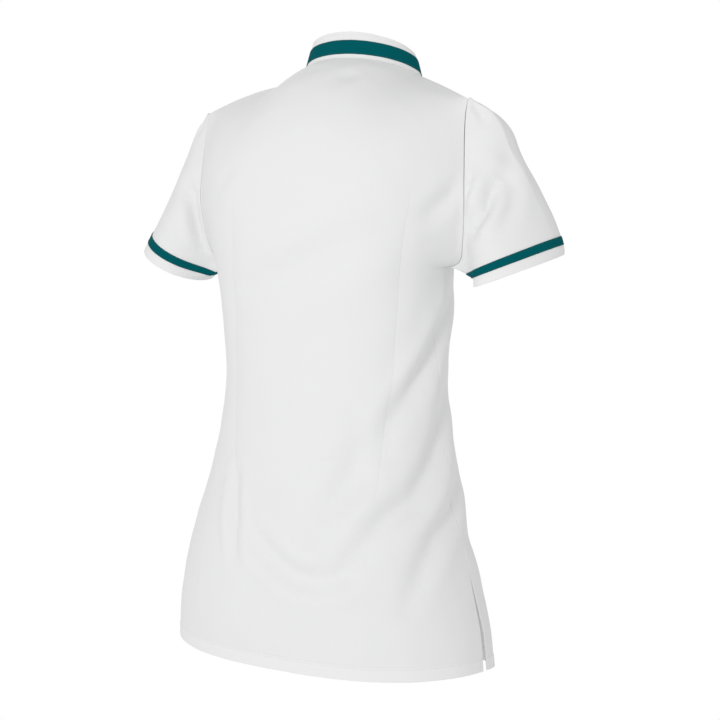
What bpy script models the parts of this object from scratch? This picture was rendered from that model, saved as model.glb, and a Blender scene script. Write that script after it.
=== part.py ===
"""Medical tunic: a fitted, short-sleeved healthcare tunic with a stand collar and teal trims.

The garment is filled out with nobody in it. Metres. X is the wearer's left, Y the wearer's back and
Z is up. The origin is on the centre plane, 4 mm above the back neck seam and 12 mm behind the side seams.
Every cut piece is an open grid of outer points, and Solidify gives it a cloth wall on its inner side.
"""
import math

import bpy
import numpy as np

# Cloth and seams
CLOTH = 0.0015
COLLAR_WALL = 0.0022
TAPE_WALL = 0.0010
SEAM_GAP = 0.0003
SIDE_GAP = 0.0010
SHOULDER_GAP = 0.0012
ARMHOLE_GAP = 0.0016
COLLAR_GAP = 0.0006
SIDE_Y = -0.012
ROUNDNESS = 2.2
LENGTH = 0.7235
UNDERARM_Z = -0.252

# Level sections of the body, from the hem to the underarm. Depths are measured from the side seams.
BODY = (
    # z, half width, back depth, front depth, middle x
    (-0.7235, 0.2028, 0.1414, 0.1190, 0.0000),
    (-0.680, 0.1994, 0.1436, 0.1165, 0.0010),
    (-0.620, 0.1878, 0.1439, 0.1130, 0.0035),
    (-0.560, 0.1721, 0.1380, 0.1100, 0.0035),
    (-0.500, 0.1573, 0.1240, 0.1075, 0.0005),
    (-0.440, 0.1444, 0.1120, 0.1060, 0.0000),
    (-0.380, 0.1385, 0.1040, 0.1080, 0.0000),
    (-0.320, 0.1422, 0.1062, 0.1165, 0.0000),
    (-0.285, 0.1455, 0.1100, 0.1225, 0.0000),
    (-0.252, 0.1500, 0.1138, 0.1270, 0.0000),
    (-0.215, 0.1580, 0.1170, 0.1290, 0.0000),
    (-0.180, 0.1700, 0.1185, 0.1280, 0.0000),
    (-0.140, 0.1820, 0.1185, 0.1230, 0.0000),
    (-0.100, 0.1870, 0.1185, 0.1190, 0.0000),
    (-0.050, 0.1880, 0.1185, 0.1180, 0.0000),
)
HEM_TILT = 0.055
HEM_CROSS_TILT = 0.038
HEM_LEVEL_X = -0.085
HEM_SIDE_RISE = 0.009
SLIT_TOP_Z = -0.611
SLIT_WIDTH = 0.010

# Armhole edges of the two faces, from the underarm to the shoulder tip
ARMHOLE_BACK = (
    # x, y, z
    (0.1500, -0.0120, -0.2520),
    (0.1625, -0.0116, -0.2495),
    (0.1715, -0.0090, -0.2410),
    (0.1785, -0.0015, -0.2170),
    (0.1822, 0.0038, -0.1900),
    (0.1838, 0.0070, -0.1600),
    (0.1825, 0.0065, -0.1300),
    (0.1812, 0.0035, -0.1000),
    (0.1802, -0.0005, -0.0780),
    (0.1800, -0.0060, -0.0595),
)
ARMHOLE_FRONT = (
    # x, y, z
    (0.1500, -0.0120, -0.2520),
    (0.1555, -0.0350, -0.2475),
    (0.1590, -0.0560, -0.2300),
    (0.1580, -0.0730, -0.2000),
    (0.1590, -0.0790, -0.1600),
    (0.1640, -0.0730, -0.1200),
    (0.1700, -0.0550, -0.0900),
    (0.1765, -0.0310, -0.0690),
    (0.1800, -0.0060, -0.0595),
)

# Neck seam: an ellipse that slopes down to the front
NECK_X = -0.008
NECK_Y = -0.070
NECK_HALF_WIDTH = 0.0746
NECK_BACK = 0.0678
NECK_FRONT = 0.0520
NECK_BACK_Z = -0.0038
NECK_SLOPE = 0.255
NECK_FRONT_DROP = 0.030
SHOULDER_BOW = {1: 0.0085, -1: 0.0010}
COLLAR_HEIGHT = 0.0335
COLLAR_FRONT_HEIGHT = 0.0255
COLLAR_LEAN = 0.26
COLLAR_FRONT_GAP = 0.006
COLLAR_TAPE_FROM = 0.0050
COLLAR_TAPE_WIDTH = 0.0175

# Sleeve hem: an ellipse that rises outwards
CUFF_X = 0.2382
CUFF_Y = -0.0213
CUFF_LONG = 0.0634
CUFF_SHORT = 0.0414
CUFF_TURN = math.radians(-76.2)
CUFF_TOP_ANGLE = math.radians(69.4)
SLEEVES = (
    # name, side, height of the hem, its rise outwards, its rise backwards, lift in front, lift of the head
    ("left", 1, -0.2454, 0.518, 0.0, 0.010, 0.0),
    ("right", -1, -0.2560, 0.300, -0.170, 0.0150, 0.0080),
)
SLEEVE_LIFT = 0.004
SLEEVE_LIFT_ANGLE = math.radians(-35)
HEAD_AT = 0.19
HEAD_REACH = 0.12
SLEEVE_HEM_STITCH = 0.006
SLEEVE_SWELL_POWERS = (0.35, 0.6, 0.535)   # of the way down, of the way up, and the height that they reach
SLEEVE_SWELL_WAY = (0.84, -0.2, 0.5)
SLEEVE_TAPE_FROM = 0.0122
SLEEVE_TAPE_WIDTH = 0.0102

# Closing and darts
OVERLAP = 0.015
UNDERLAP_STEP = 0.0021
BUTTON_COUNT = 7
BUTTON_RADIUS = 0.0075
BUTTON_WALL = 0.0028
BUTTON_GAP = 0.0004
BUTTON_STEPS = 16
BUTTON_TOP_Z = -0.090
BUTTON_STEP = 0.084
DART_BACK = (
    # z, x of the dart line
    (-0.725, 0.1180),
    (-0.550, 0.1170),
    (-0.380, 0.1146),
    (-0.165, 0.1200),
)
DART_FRONT = (
    # z, x of the dart line
    (-0.725, 0.1050),
    (-0.550, 0.1000),
    (-0.380, 0.0960),
    (-0.165, 0.1050),
)

# Largest folds of the body, as soft troughs pressed in along a path round the cloth
FOLDS = (
    # depth, half width, points of the path
    (0.0060, 0.013, ((-0.140, -0.050, -0.285), (-0.140, -0.005, -0.345), (-0.130, 0.031, -0.393),
                     (-0.112, 0.066, -0.455))),
    (0.0060, 0.015, ((-0.136, -0.045, -0.395), (-0.147, 0.005, -0.460), (-0.141, 0.052, -0.513),
                     (-0.112, 0.095, -0.555))),
    (0.0045, 0.014, ((-0.150, -0.045, -0.490), (-0.163, 0.000, -0.540), (-0.157, 0.060, -0.597),
                     (-0.148, 0.080, -0.635))),
    (0.0035, 0.022, ((-0.096, 0.076, -0.435), (-0.084, 0.095, -0.493), (-0.050, 0.115, -0.540))),
    (0.0045, 0.016, ((0.050, 0.116, -0.525), (0.000, 0.130, -0.583), (-0.055, 0.126, -0.605),
                     (-0.095, 0.110, -0.570))),
    (0.0020, 0.016, ((0.072, 0.095, -0.470), (0.050, 0.127, -0.600))),
    (0.0030, 0.024, ((-0.107, 0.077, -0.205), (-0.011, 0.099, -0.257), (0.075, 0.084, -0.290))),
    (0.0035, 0.016, ((0.145, -0.030, -0.330), (0.130, -0.070, -0.375), (0.100, -0.095, -0.405))),
    (0.0035, 0.018, ((-0.145, -0.060, -0.230), (-0.120, -0.100, -0.275), (-0.080, -0.120, -0.290))),
    (0.0035, 0.018, ((0.145, -0.060, -0.230), (0.120, -0.100, -0.270), (0.085, -0.120, -0.300))),
    (0.0040, 0.020, ((-0.175, -0.040, -0.560), (-0.120, -0.090, -0.610), (-0.060, -0.110, -0.660))),
    (0.0030, 0.020, ((0.165, -0.050, -0.520), (0.120, -0.085, -0.570), (0.070, -0.105, -0.640))),
)
FOLD_SHOULDER = 0.35

# Grids
LOWER_ROWS = 25
UPPER_ROWS = 12
NECK_CELLS = 8
SHOULDER_CELLS = 6
DART_CELL = 9
OVERLAP_CELLS = 2
SLEEVE_CELLS = 8
BACK_ROUND_Z = -0.190
FRONT_ROUND_Z = -0.200
ROUNDING = 3.0
CENTRE_SHARPNESS = 1.15
TIP_SHARPNESS = 2.0
WING = 5
RELAXED_ROWS = 4
RELAX_PASSES = 20

COLOURS = {
    "white": (0.82, 0.82, 0.82, 1.0),
    "teal": (0.0, 0.098, 0.115, 1.0),
    "button": (0.80, 0.80, 0.79, 1.0),
}


def smooth_value(x, table, column):
    """A column of a table read at x, on cubic pieces whose slopes never overshoot the rows."""
    rows = np.array(table)
    xs, ys = rows[:, 0], rows[:, column]
    width = np.diff(xs)
    rise = np.diff(ys) / width
    slope = np.zeros(len(xs))
    slope[0], slope[-1] = rise[0], rise[-1]
    before, after = rise[:-1], rise[1:]
    turns = before * after <= 0
    slope[1:-1] = np.where(turns, 0.0, 2 * before * after / np.where(turns, 1.0, before + after))
    k = np.clip(np.searchsorted(xs, x, side="right") - 1, 0, len(width) - 1)
    t = np.clip((x - xs[k]) / width[k], 0, 1)
    h = width[k]
    a = (1 + 2 * t) * (1 - t) ** 2 * ys[k] + t * (1 - t) ** 2 * h * slope[k]
    b = t * t * (3 - 2 * t) * ys[k + 1] + t * t * (t - 1) * h * slope[k + 1]
    return a + b


def smooth_path(points, fractions):
    """Points at fractions of the length of a smooth curve through the given points."""
    p = np.array(points, float)
    ends = np.vstack([2 * p[0] - p[1], p, 2 * p[-1] - p[-2]])
    t = np.linspace(0, 1, 17)[:-1, None]
    pieces = []
    for a, b, c, d in zip(ends, ends[1:], ends[2:], ends[3:]):
        cubic = (2 * b + (c - a) * t + (2 * a - 5 * b + 4 * c - d) * t**2 + (3 * b - a - 3 * c + d) * t**3) / 2
        pieces.append(cubic)
    fine = np.vstack(pieces + [p[-1:]])
    length = np.concatenate([[0], np.cumsum(np.linalg.norm(np.diff(fine, axis=0), axis=1))])
    wanted = np.asarray(fractions) * length[-1]
    return np.stack([np.interp(wanted, length, fine[:, k]) for k in range(3)], axis=-1)


def neck_point(angle, side, front):
    """Neck seam at an angle from the centre back. x is the side's own: positive towards its shoulder."""
    x = side * NECK_X + NECK_HALF_WIDTH * np.sin(angle)
    forward = np.cos(angle) < 0 if front is None else np.full(np.shape(angle), front)
    depth = np.where(forward, NECK_FRONT, NECK_BACK) * np.cos(angle)
    drop = NECK_FRONT_DROP * np.clip(-np.cos(angle), 0, 1) ** 2
    z = NECK_BACK_Z - NECK_SLOPE * (NECK_BACK - depth) - drop
    return np.stack([x, NECK_Y + depth, z], axis=-1)


def top_line(side, front):
    """Neck seam and shoulder seam of half a face, from the centre line out to the shoulder tip."""
    centre = math.asin(-side * NECK_X / NECK_HALF_WIDTH)
    start = math.pi - centre if front else centre
    neck = neck_point(np.linspace(start, math.pi / 2, NECK_CELLS + 1), side, front)
    tip = np.array(ARMHOLE_BACK[-1])
    share = np.linspace(0, 1, SHOULDER_CELLS + 1)[1:, None]
    shoulder = neck[-1] + (tip - neck[-1]) * share
    shoulder[:, 2] += SHOULDER_BOW[side] * np.sin(math.pi * share[:, 0])
    line = np.vstack([neck, shoulder])
    if front:
        past = np.linspace(-OVERLAP, 0, OVERLAP_CELLS + 1)[:-1]
        angles = math.pi - np.arcsin((past - side * NECK_X) / NECK_HALF_WIDTH)
        line = np.vstack([neck_point(angles, side, front), line])
    return line


def column_angles(z, front):
    """Section angle of each column at height z, 0 at the centre line and a right angle at the side."""
    width = smooth_value(z, BODY, 1)
    dart = smooth_value(z, DART_FRONT if front else DART_BACK, 1)
    at_dart = math.asin(min(dart / width, 0.999) ** (ROUNDNESS / 2))
    cells = np.arange(NECK_CELLS + SHOULDER_CELLS + 1)
    return np.interp(cells, [0, DART_CELL, cells[-1]], [0, at_dart, math.pi / 2])


def half_face(side, front):
    """Outer points of half a face: rows from hem to shoulder, columns from the centre to the side.

    Below the underarm each row is a quarter of a superellipse. Above it each row ends on the armhole,
    and its depth rounds off towards the neck and shoulder seams.
    """
    way = -1.0 if front else 1.0
    power = 2 / ROUNDNESS
    extra = OVERLAP_CELLS if front else 0
    past = np.linspace(-OVERLAP, 0, extra + 1)[:-1]

    def section(x, width, depth):
        inside = (1 - (np.abs(x) / width) ** ROUNDNESS).clip(0)
        return SIDE_Y + way * depth * inside ** (1 / ROUNDNESS)

    rows = []
    for z in np.linspace(-LENGTH, UNDERARM_Z, LOWER_ROWS):
        width = smooth_value(z, BODY, 1)
        x = np.concatenate([past, width * np.sin(column_angles(z, front)) ** power])
        y = section(x, width, smooth_value(z, BODY, 3 if front else 2))
        low = max(0.0, (-0.45 - z) / (LENGTH - 0.45)) ** 2
        rise = HEM_TILT * (y - SIDE_Y) + HEM_CROSS_TILT * (side * x - HEM_LEVEL_X) + HEM_SIDE_RISE * (x / width) ** 4
        rows.append(np.stack([x, y, z + low * rise], axis=-1))
    top = top_line(side, front)
    edge_points = ARMHOLE_FRONT if front else ARMHOLE_BACK
    share_top = top[extra:, 0] / top[-1, 0]
    round_from = FRONT_ROUND_Z if front else BACK_ROUND_Z
    column = np.concatenate([np.zeros(extra), np.linspace(0, 1, NECK_CELLS + SHOULDER_CELLS + 1)])
    sharpness = CENTRE_SHARPNESS + (TIP_SHARPNESS - CENTRE_SHARPNESS) * column
    for step in np.sin(np.linspace(0, math.pi / 2, UPPER_ROWS + 1))[1:]:
        edge = smooth_path(edge_points, [step])[0]
        rise = (edge[2] - UNDERARM_Z) / (top[-1, 2] - UNDERARM_Z)
        z = UNDERARM_Z + rise * (top[:, 2] - UNDERARM_Z)
        blend = rise * rise * (3 - 2 * rise)
        near_top = ((z - round_from) / (top[:, 2] - round_from)).clip(0, 1)
        rounding = (1 - near_top**ROUNDING).clip(0) ** (1 / sharpness)
        width = smooth_value(edge[2], BODY, 1)
        depth = smooth_value(z, BODY, 3 if front else 2)
        unrounded = top[-1, 1] + (edge[1] - top[-1, 1]) / max(rounding[-1], 0.2)
        reach = min(max(way * (unrounded - SIDE_Y) / depth[-1], 0.0), 0.95)
        last_angle = math.acos(reach ** (ROUNDNESS / 2))
        across = np.sin(column_angles(UNDERARM_Z, front) * last_angle / (math.pi / 2)) ** power
        x = width * (across + (across[-1] * share_top - across) * blend)
        x = np.concatenate([past * (1 - blend) + top[:extra, 0] * blend, x])
        y = top[:, 1] + (section(x, width, depth) - top[:, 1]) * rounding
        row = np.stack([x, y, z], axis=-1)
        row += (edge - row[-1]) * column[:, None] ** WING
        rows.append(row)
    grid = np.array(rows)
    grid[..., 0] = grid[..., 0] * side + smooth_value(grid[..., 2], BODY, 4)
    return grid


def relax(grid, first):
    """Evens out the depth of the upper rows between the fixed seams, from the first column outwards."""
    depth = grid[..., 1].copy()
    rows = slice(LOWER_ROWS - RELAXED_ROWS, -1)
    for _ in range(RELAX_PASSES):
        beside = (depth[rows, first - 1:-2] + depth[rows, first + 1:]) / 2
        above = depth[rows.start + 1:, first:-1]
        below = depth[rows.start - 1:-2, first:-1]
        depth[rows, first:-1] = depth[rows, first:-1] / 2 + beside / 4 + (above + below) / 8
    return np.stack([grid[..., 0], depth, grid[..., 2]], axis=-1)


def fold(grid, sides):
    """Presses the folds in along the surface normals, with a low rounded shoulder on each side.

    The side columns move along X alone, so that two faces still meet, and the armholes stay in place.
    """
    depth = np.zeros(grid.shape[:2])
    share = np.linspace(0, 1, 33)
    for trough, half_width, points in FOLDS:
        path = smooth_path(points, share)
        distance = np.linalg.norm(grid[:, :, None] - path, axis=-1)
        nearest = distance.argmin(axis=-1)
        away = distance.min(axis=-1) / half_width
        profile = np.exp(-(away**2)) - FOLD_SHOULDER * np.exp(-((away - 2) ** 2))
        depth += trough * profile * np.sin(math.pi * (0.06 + 0.88 * share[nearest])) ** 0.6 * (away < 4)
    inward = -normals(grid)
    for column in sides:
        inward[:, column] = np.array([1.0, 0.0, 0.0]) * -np.sign(grid[0, column, 0])
        depth[LOWER_ROWS - 1:, column] = 0.0
    return grid + inward * depth[..., None]


def normals(grid, closed=False):
    """Unit normals of a grid of points, pointing away from the middle of each row."""
    along = np.gradient(grid, axis=0)
    if closed:
        across = np.roll(grid, -1, axis=1) - np.roll(grid, 1, axis=1)
    else:
        across = np.gradient(grid, axis=1)
    normal = np.cross(across, along)
    normal /= np.linalg.norm(normal, axis=-1, keepdims=True).clip(1e-12)
    outward = grid - grid.mean(axis=1, keepdims=True)
    return normal if (normal * outward).sum() > 0 else -normal


def open_seams(grid, front):
    """The same points with the shoulder and side edges drawn back for their seams, and for the slit."""
    z = grid[:, -1, 2]
    low = ((SLIT_TOP_Z - z) / (SLIT_TOP_Z + LENGTH)).clip(0, 1)
    below = np.arange(len(grid)) < LOWER_ROWS
    step = np.where(below, SIDE_GAP / 2 + low**0.8 * SLIT_WIDTH / 2, 0.0)
    out = grid.copy()
    first = NECK_CELLS + (OVERLAP_CELLS if front else 0)
    downward = grid[-2, first:] - grid[-1, first:]
    downward /= np.linalg.norm(downward, axis=-1, keepdims=True)
    near_tip = np.linspace(0, 1, SHOULDER_CELLS + 1)[:, None]
    out[-1, first:] += downward * SHOULDER_GAP / 2 * (1 + near_tip)
    inward = grid[:, -2] - grid[:, -1]
    inward /= np.linalg.norm(inward, axis=-1, keepdims=True)
    out[:, -1] += inward * step[:, None]
    return out


def make_object(name, grid, wall, colour, closed=False):
    """A cloth piece: a mesh of quads on the outer points, with a wall on its inner side."""
    rows, columns = grid.shape[:2]
    index = np.arange(rows * columns).reshape(rows, columns)
    right = np.roll(index, -1, axis=1) if closed else index[:, 1:]
    left = index if closed else index[:, :-1]
    faces = np.stack([left[:-1], right[:-1], right[1:], left[1:]], axis=-1).reshape(-1, 4)
    quads = grid.reshape(-1, 3)[faces]
    facing = np.cross(quads[:, 1] - quads[:, 0], quads[:, 3] - quads[:, 0])
    if (facing * normals(grid, closed).reshape(-1, 3)[faces[:, 0]]).sum() < 0:
        faces = faces[:, ::-1]
    mesh = bpy.data.meshes.new(name)
    mesh.from_pydata(grid.reshape(-1, 3).tolist(), [], faces.tolist())
    mesh.shade_smooth()
    return finish_object(name, mesh, colour, wall)


def finish_object(name, mesh, colour, wall=0.0):
    mesh.materials.append(bpy.data.materials[colour])
    piece = bpy.data.objects.new(name, mesh)
    bpy.data.collections["medical_tunic"].objects.link(piece)
    if wall:
        thick = piece.modifiers.new("wall", "SOLIDIFY")
        thick.thickness = wall
        thick.offset = -1
    return piece


def start_scene():
    for old in list(bpy.data.objects):
        bpy.data.objects.remove(old)
    group = bpy.data.collections.new("medical_tunic")
    bpy.context.scene.collection.children.link(group)
    for name, colour in COLOURS.items():
        material = bpy.data.materials.new(name)
        material.use_nodes = True
        shader = material.node_tree.nodes["Principled BSDF"]
        shader.inputs["Base Color"].default_value = colour
        shader.inputs["Roughness"].default_value = 0.35 if name == "button" else 0.85


def make_back():
    left, right = half_face(1, False), half_face(-1, False)
    grid = fold(relax(np.concatenate([right[:, :0:-1], left], axis=1), 1), (0, -1))
    middle = NECK_CELLS + SHOULDER_CELLS
    left = open_seams(grid[:, middle:], False)
    right = open_seams(grid[:, middle::-1], False)
    grid = np.concatenate([right[:, :0:-1], left], axis=1)
    make_object("back", grid, CLOTH, "white")


def make_fronts():
    """The right front lies on top. The left front steps in under it near the centre."""
    fronts = []
    for side, name in ((-1, "front_right"), (1, "front_left")):
        grid = open_seams(fold(relax(half_face(side, True), 3 * OVERLAP_CELLS), (-1,)), True)
        if side > 0:
            reach = ((0.045 - grid[..., 0]) / 0.025).clip(0, 1)
            step = UNDERLAP_STEP * reach * reach * (3 - 2 * reach)
            grid = grid - normals(grid) * step[..., None]
        make_object(name, grid, CLOTH, "white")
        fronts.append(grid)
    return fronts[0]


def sleeve_grid(side, hem_z, hem_rise, hem_back_rise, front_lift, head_lift):
    """Rings from the armhole to the sleeve hem, straight from end to end but for a swell and a raised head.

    The last rings lie at set distances from the hem, where the tape and the turned hem begin.
    """
    share = np.linspace(0, 1, 14)
    back = smooth_path(ARMHOLE_BACK, 1 - share)[:-1]
    front = smooth_path(ARMHOLE_FRONT, share)[:-1]
    start = np.vstack([back, front])
    turn = np.linspace(0, 2 * math.pi, len(start), endpoint=False)
    angle = CUFF_TOP_ANGLE + turn
    outward = CUFF_LONG * np.cos(angle) * math.cos(CUFF_TURN) - CUFF_SHORT * np.sin(angle) * math.sin(CUFF_TURN)
    backward = CUFF_LONG * np.cos(angle) * math.sin(CUFF_TURN) + CUFF_SHORT * np.sin(angle) * math.cos(CUFF_TURN)
    height = hem_z + hem_rise * outward + hem_back_rise * backward
    end = np.stack([CUFF_X + outward, CUFF_Y + backward, height], axis=-1)
    span = end - start
    reach = np.linalg.norm(span, axis=-1)
    start = start + span / reach[:, None] * ARMHOLE_GAP
    marks = np.array([SLEEVE_TAPE_FROM + SLEEVE_TAPE_WIDTH, SLEEVE_TAPE_FROM + SLEEVE_TAPE_WIDTH / 2])
    marks = np.concatenate([marks, [SLEEVE_TAPE_FROM, SLEEVE_HEM_STITCH, 0.0]])
    last = 1 - marks[:, None] / reach
    t = np.vstack([np.linspace(0, 1, SLEEVE_CELLS + 1)[:-1, None] * last[0], last])[..., None]
    to_front = np.cos(turn - SLEEVE_LIFT_ANGLE).clip(0)[:, None] ** 2
    down, up, reached = SLEEVE_SWELL_POWERS
    swell = (SLEEVE_LIFT + front_lift * to_front) * t**down * (1 - t) ** up / reached
    swell = swell + head_lift * to_front * np.where(t > 0, np.exp(-(((t - HEAD_AT) / HEAD_REACH) ** 2)), 0)
    grid = start + (end - start) * t + swell * np.array(SLEEVE_SWELL_WAY)
    grid[..., 0] *= side
    return grid


def make_sleeves():
    for name, *cut in SLEEVES:
        grid = sleeve_grid(*cut)
        make_object("sleeve_" + name, grid, CLOTH, "white", closed=True)
        outer = grid + normals(grid, closed=True) * (SEAM_GAP + TAPE_WALL)
        tape = outer[SLEEVE_CELLS:SLEEVE_CELLS + 3]
        make_object("sleeve_band_" + name, tape, TAPE_WALL, "teal", closed=True)


def collar_grid():
    """Rows from the neck seam to the top edge, columns from the right front end round the back."""
    ends = math.asin((COLLAR_FRONT_GAP / 2 - NECK_X) / NECK_HALF_WIDTH)
    left_end = math.pi - ends
    right_end = math.pi - math.asin((COLLAR_FRONT_GAP / 2 + NECK_X) / NECK_HALF_WIDTH)
    centre = math.asin(-NECK_X / NECK_HALF_WIDTH)
    stops = (-right_end, -math.pi / 2, centre, math.pi / 2, left_end)
    parts = [np.linspace(a, b, NECK_CELLS + 1)[:-1] for a, b in zip(stops, stops[1:])]
    angles = np.concatenate(parts + [[left_end]])
    base = neck_point(angles, 1, None)
    front = (1 - np.cos(angles)) / 2
    height = COLLAR_HEIGHT + (COLLAR_FRONT_HEIGHT - COLLAR_HEIGHT) * front
    radial = np.stack([np.sin(angles), np.cos(angles), np.zeros(len(angles))], axis=-1)
    up = np.array([0.0, 0.0, 1.0]) - COLLAR_LEAN * radial
    up /= np.linalg.norm(up, axis=-1, keepdims=True)
    tape_top = COLLAR_TAPE_FROM + COLLAR_TAPE_WIDTH
    marks = np.array([0.0, COLLAR_TAPE_FROM, (COLLAR_TAPE_FROM + tape_top) / 2, tape_top])
    distance = np.vstack([np.tile(marks[:, None], len(angles)), height])[..., None]
    return base + np.array([0.0, 0.0, COLLAR_GAP]) + distance * up


def make_collar():
    grid = collar_grid()
    make_object("collar", grid, COLLAR_WALL, "white")
    outer = grid + normals(grid) * (SEAM_GAP + TAPE_WALL)
    make_object("collar_band", outer[1:4], TAPE_WALL, "teal")


def make_buttons(front):
    """Round buttons down the centre line, each turned to lie on the right front's outer points."""
    for number in range(BUTTON_COUNT):
        z = BUTTON_TOP_Z - number * BUTTON_STEP
        name = f"button_{number + 1}"
        r, h = BUTTON_RADIUS, BUTTON_WALL
        profile = [(0, h * 0.8), (r * 0.62, h * 0.8), (r * 0.72, h), (r * 0.92, h), (r, h * 0.7), (r, h * 0.25)]
        profile += [(r * 0.9, 0), (0, 0)]
        mesh = bpy.data.meshes.new(name)
        edges = [(k, k + 1) for k in range(len(profile) - 1)]
        mesh.from_pydata([(x, 0, y) for x, y in profile], edges, [])
        piece = finish_object(name, mesh, "button")
        turned = piece.modifiers.new("turned", "SCREW")
        turned.steps = BUTTON_STEPS
        turned.render_steps = BUTTON_STEPS
        turned.use_merge_vertices = True
        turned.merge_threshold = 0.00001
        column = front[:, OVERLAP_CELLS]
        y_low, y, y_high = np.interp([z - r, z, z + r], column[:, 2], column[:, 1])
        x = np.interp(z, column[:, 2], column[:, 0])
        piece.location = (x, min(y, (y_low + y_high) / 2) - BUTTON_GAP, z)
        piece.rotation_euler = (math.pi / 2 - math.atan2(y_high - y_low, 2 * r), 0.0, 0.0)


start_scene()
make_back()
right_front = make_fronts()
make_sleeves()
make_collar()
make_buttons(right_front)
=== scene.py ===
import math

import bmesh
import bpy
import numpy as np
from mathutils import Matrix, Vector


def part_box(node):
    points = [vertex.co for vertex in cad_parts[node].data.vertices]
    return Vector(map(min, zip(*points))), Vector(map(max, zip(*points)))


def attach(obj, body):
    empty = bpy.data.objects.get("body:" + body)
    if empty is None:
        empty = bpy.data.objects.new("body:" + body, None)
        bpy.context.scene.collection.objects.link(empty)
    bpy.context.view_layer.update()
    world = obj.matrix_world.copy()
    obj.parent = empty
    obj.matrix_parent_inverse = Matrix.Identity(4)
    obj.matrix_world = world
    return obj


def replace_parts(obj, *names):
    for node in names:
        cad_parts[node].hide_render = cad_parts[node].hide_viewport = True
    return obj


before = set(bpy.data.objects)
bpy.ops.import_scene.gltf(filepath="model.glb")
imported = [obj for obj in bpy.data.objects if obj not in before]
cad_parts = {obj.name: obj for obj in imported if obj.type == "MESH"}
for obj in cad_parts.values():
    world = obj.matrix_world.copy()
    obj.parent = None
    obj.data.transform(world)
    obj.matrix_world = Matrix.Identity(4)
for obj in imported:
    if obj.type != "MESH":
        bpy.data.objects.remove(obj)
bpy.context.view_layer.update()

# The cut of the tunic, with the sizes of the solids, in metres. x is the wearer's left, y the back, z up.
cut = {
    "cloth": 0.0011,        # wall of the single cloth
    "hemCloth": 0.0016,     # wall where the cloth is turned up
    "hemDepth": 0.0155,     # turned-up hem of the body
    "cuffDepth": 0.0138,    # turned-up hem of the sleeves, up to the tape
    "slitHem": 0.008,       # turned edge beside each slit
    "sideY": -0.012,
    "roundness": 2.2,
    "length": 0.7235,
    "underarmZ": -0.252,
    "hemTilt": 0.055,
    "hemCrossTilt": 0.038,
    "hemLevelX": -0.085,
    "hemSideRise": 0.009,
    "slitTopZ": -0.611,
    "slitWidth": 0.010,
    "overlap": 0.015,
    "underlapStep": 0.0021,
    "valleyFill": 0.0030,
    "valleyReach": 0.0060,
    "shoulderBow": {1: 0.0085, -1: 0.0010},   # rise of each shoulder seam between neck and tip
}

# Level sections of the body: z, half width, back depth, front depth, middle x
bodySections = (
    (-0.7235, 0.2028, 0.1414, 0.1190, 0.0000),
    (-0.680, 0.1994, 0.1436, 0.1165, 0.0010),
    (-0.620, 0.1878, 0.1439, 0.1130, 0.0035),
    (-0.560, 0.1721, 0.1380, 0.1100, 0.0035),
    (-0.500, 0.1573, 0.1240, 0.1075, 0.0005),
    (-0.440, 0.1444, 0.1120, 0.1060, 0.0000),
    (-0.380, 0.1385, 0.1040, 0.1080, 0.0000),
    (-0.320, 0.1422, 0.1062, 0.1165, 0.0000),
    (-0.285, 0.1455, 0.1100, 0.1225, 0.0000),
    (-0.252, 0.1500, 0.1138, 0.1270, 0.0000),
    (-0.215, 0.1580, 0.1170, 0.1290, 0.0000),
    (-0.180, 0.1700, 0.1185, 0.1280, 0.0000),
    (-0.140, 0.1820, 0.1185, 0.1230, 0.0000),
    (-0.100, 0.1870, 0.1185, 0.1190, 0.0000),
    (-0.050, 0.1880, 0.1185, 0.1180, 0.0000),
)

# Armhole seams from the underarm to the shoulder tip: x, y, z
armholeBack = (
    (0.1500, -0.0120, -0.2520),
    (0.1625, -0.0116, -0.2495),
    (0.1715, -0.0090, -0.2410),
    (0.1785, -0.0015, -0.2170),
    (0.1822, 0.0038, -0.1900),
    (0.1838, 0.0070, -0.1600),
    (0.1825, 0.0065, -0.1300),
    (0.1812, 0.0035, -0.1000),
    (0.1802, -0.0005, -0.0780),
    (0.1800, -0.0060, -0.0595),
)
armholeFront = (
    (0.1500, -0.0120, -0.2520),
    (0.1555, -0.0350, -0.2475),
    (0.1590, -0.0560, -0.2300),
    (0.1580, -0.0730, -0.2000),
    (0.1590, -0.0790, -0.1600),
    (0.1640, -0.0730, -0.1200),
    (0.1700, -0.0550, -0.0900),
    (0.1765, -0.0310, -0.0690),
    (0.1800, -0.0060, -0.0595),
)

neck = {
    "x": -0.008, "y": -0.070, "halfWidth": 0.0746, "back": 0.0678, "front": 0.0520,
    "backZ": -0.0038, "slope": 0.255, "frontDrop": 0.030,
}

# Cells of the control grid that the fine surfaces are drawn through
cells = {"lower": 24, "upper": 12, "neck": 8, "shoulder": 6, "dart": 9, "overlap": 2}
rounding = {
    "backZ": -0.190, "frontZ": -0.200, "power": 3.0, "centre": 1.15, "tip": 2.0, "wing": 5,
    "evenedRows": 3, "hold": 0.35,
}
dartColumnBack = ((-0.725, 0.1180), (-0.550, 0.1170), (-0.380, 0.1146), (-0.165, 0.1200))
dartColumnFront = ((-0.725, 0.1050), (-0.550, 0.1000), (-0.380, 0.0960), (-0.165, 0.1050))


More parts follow.
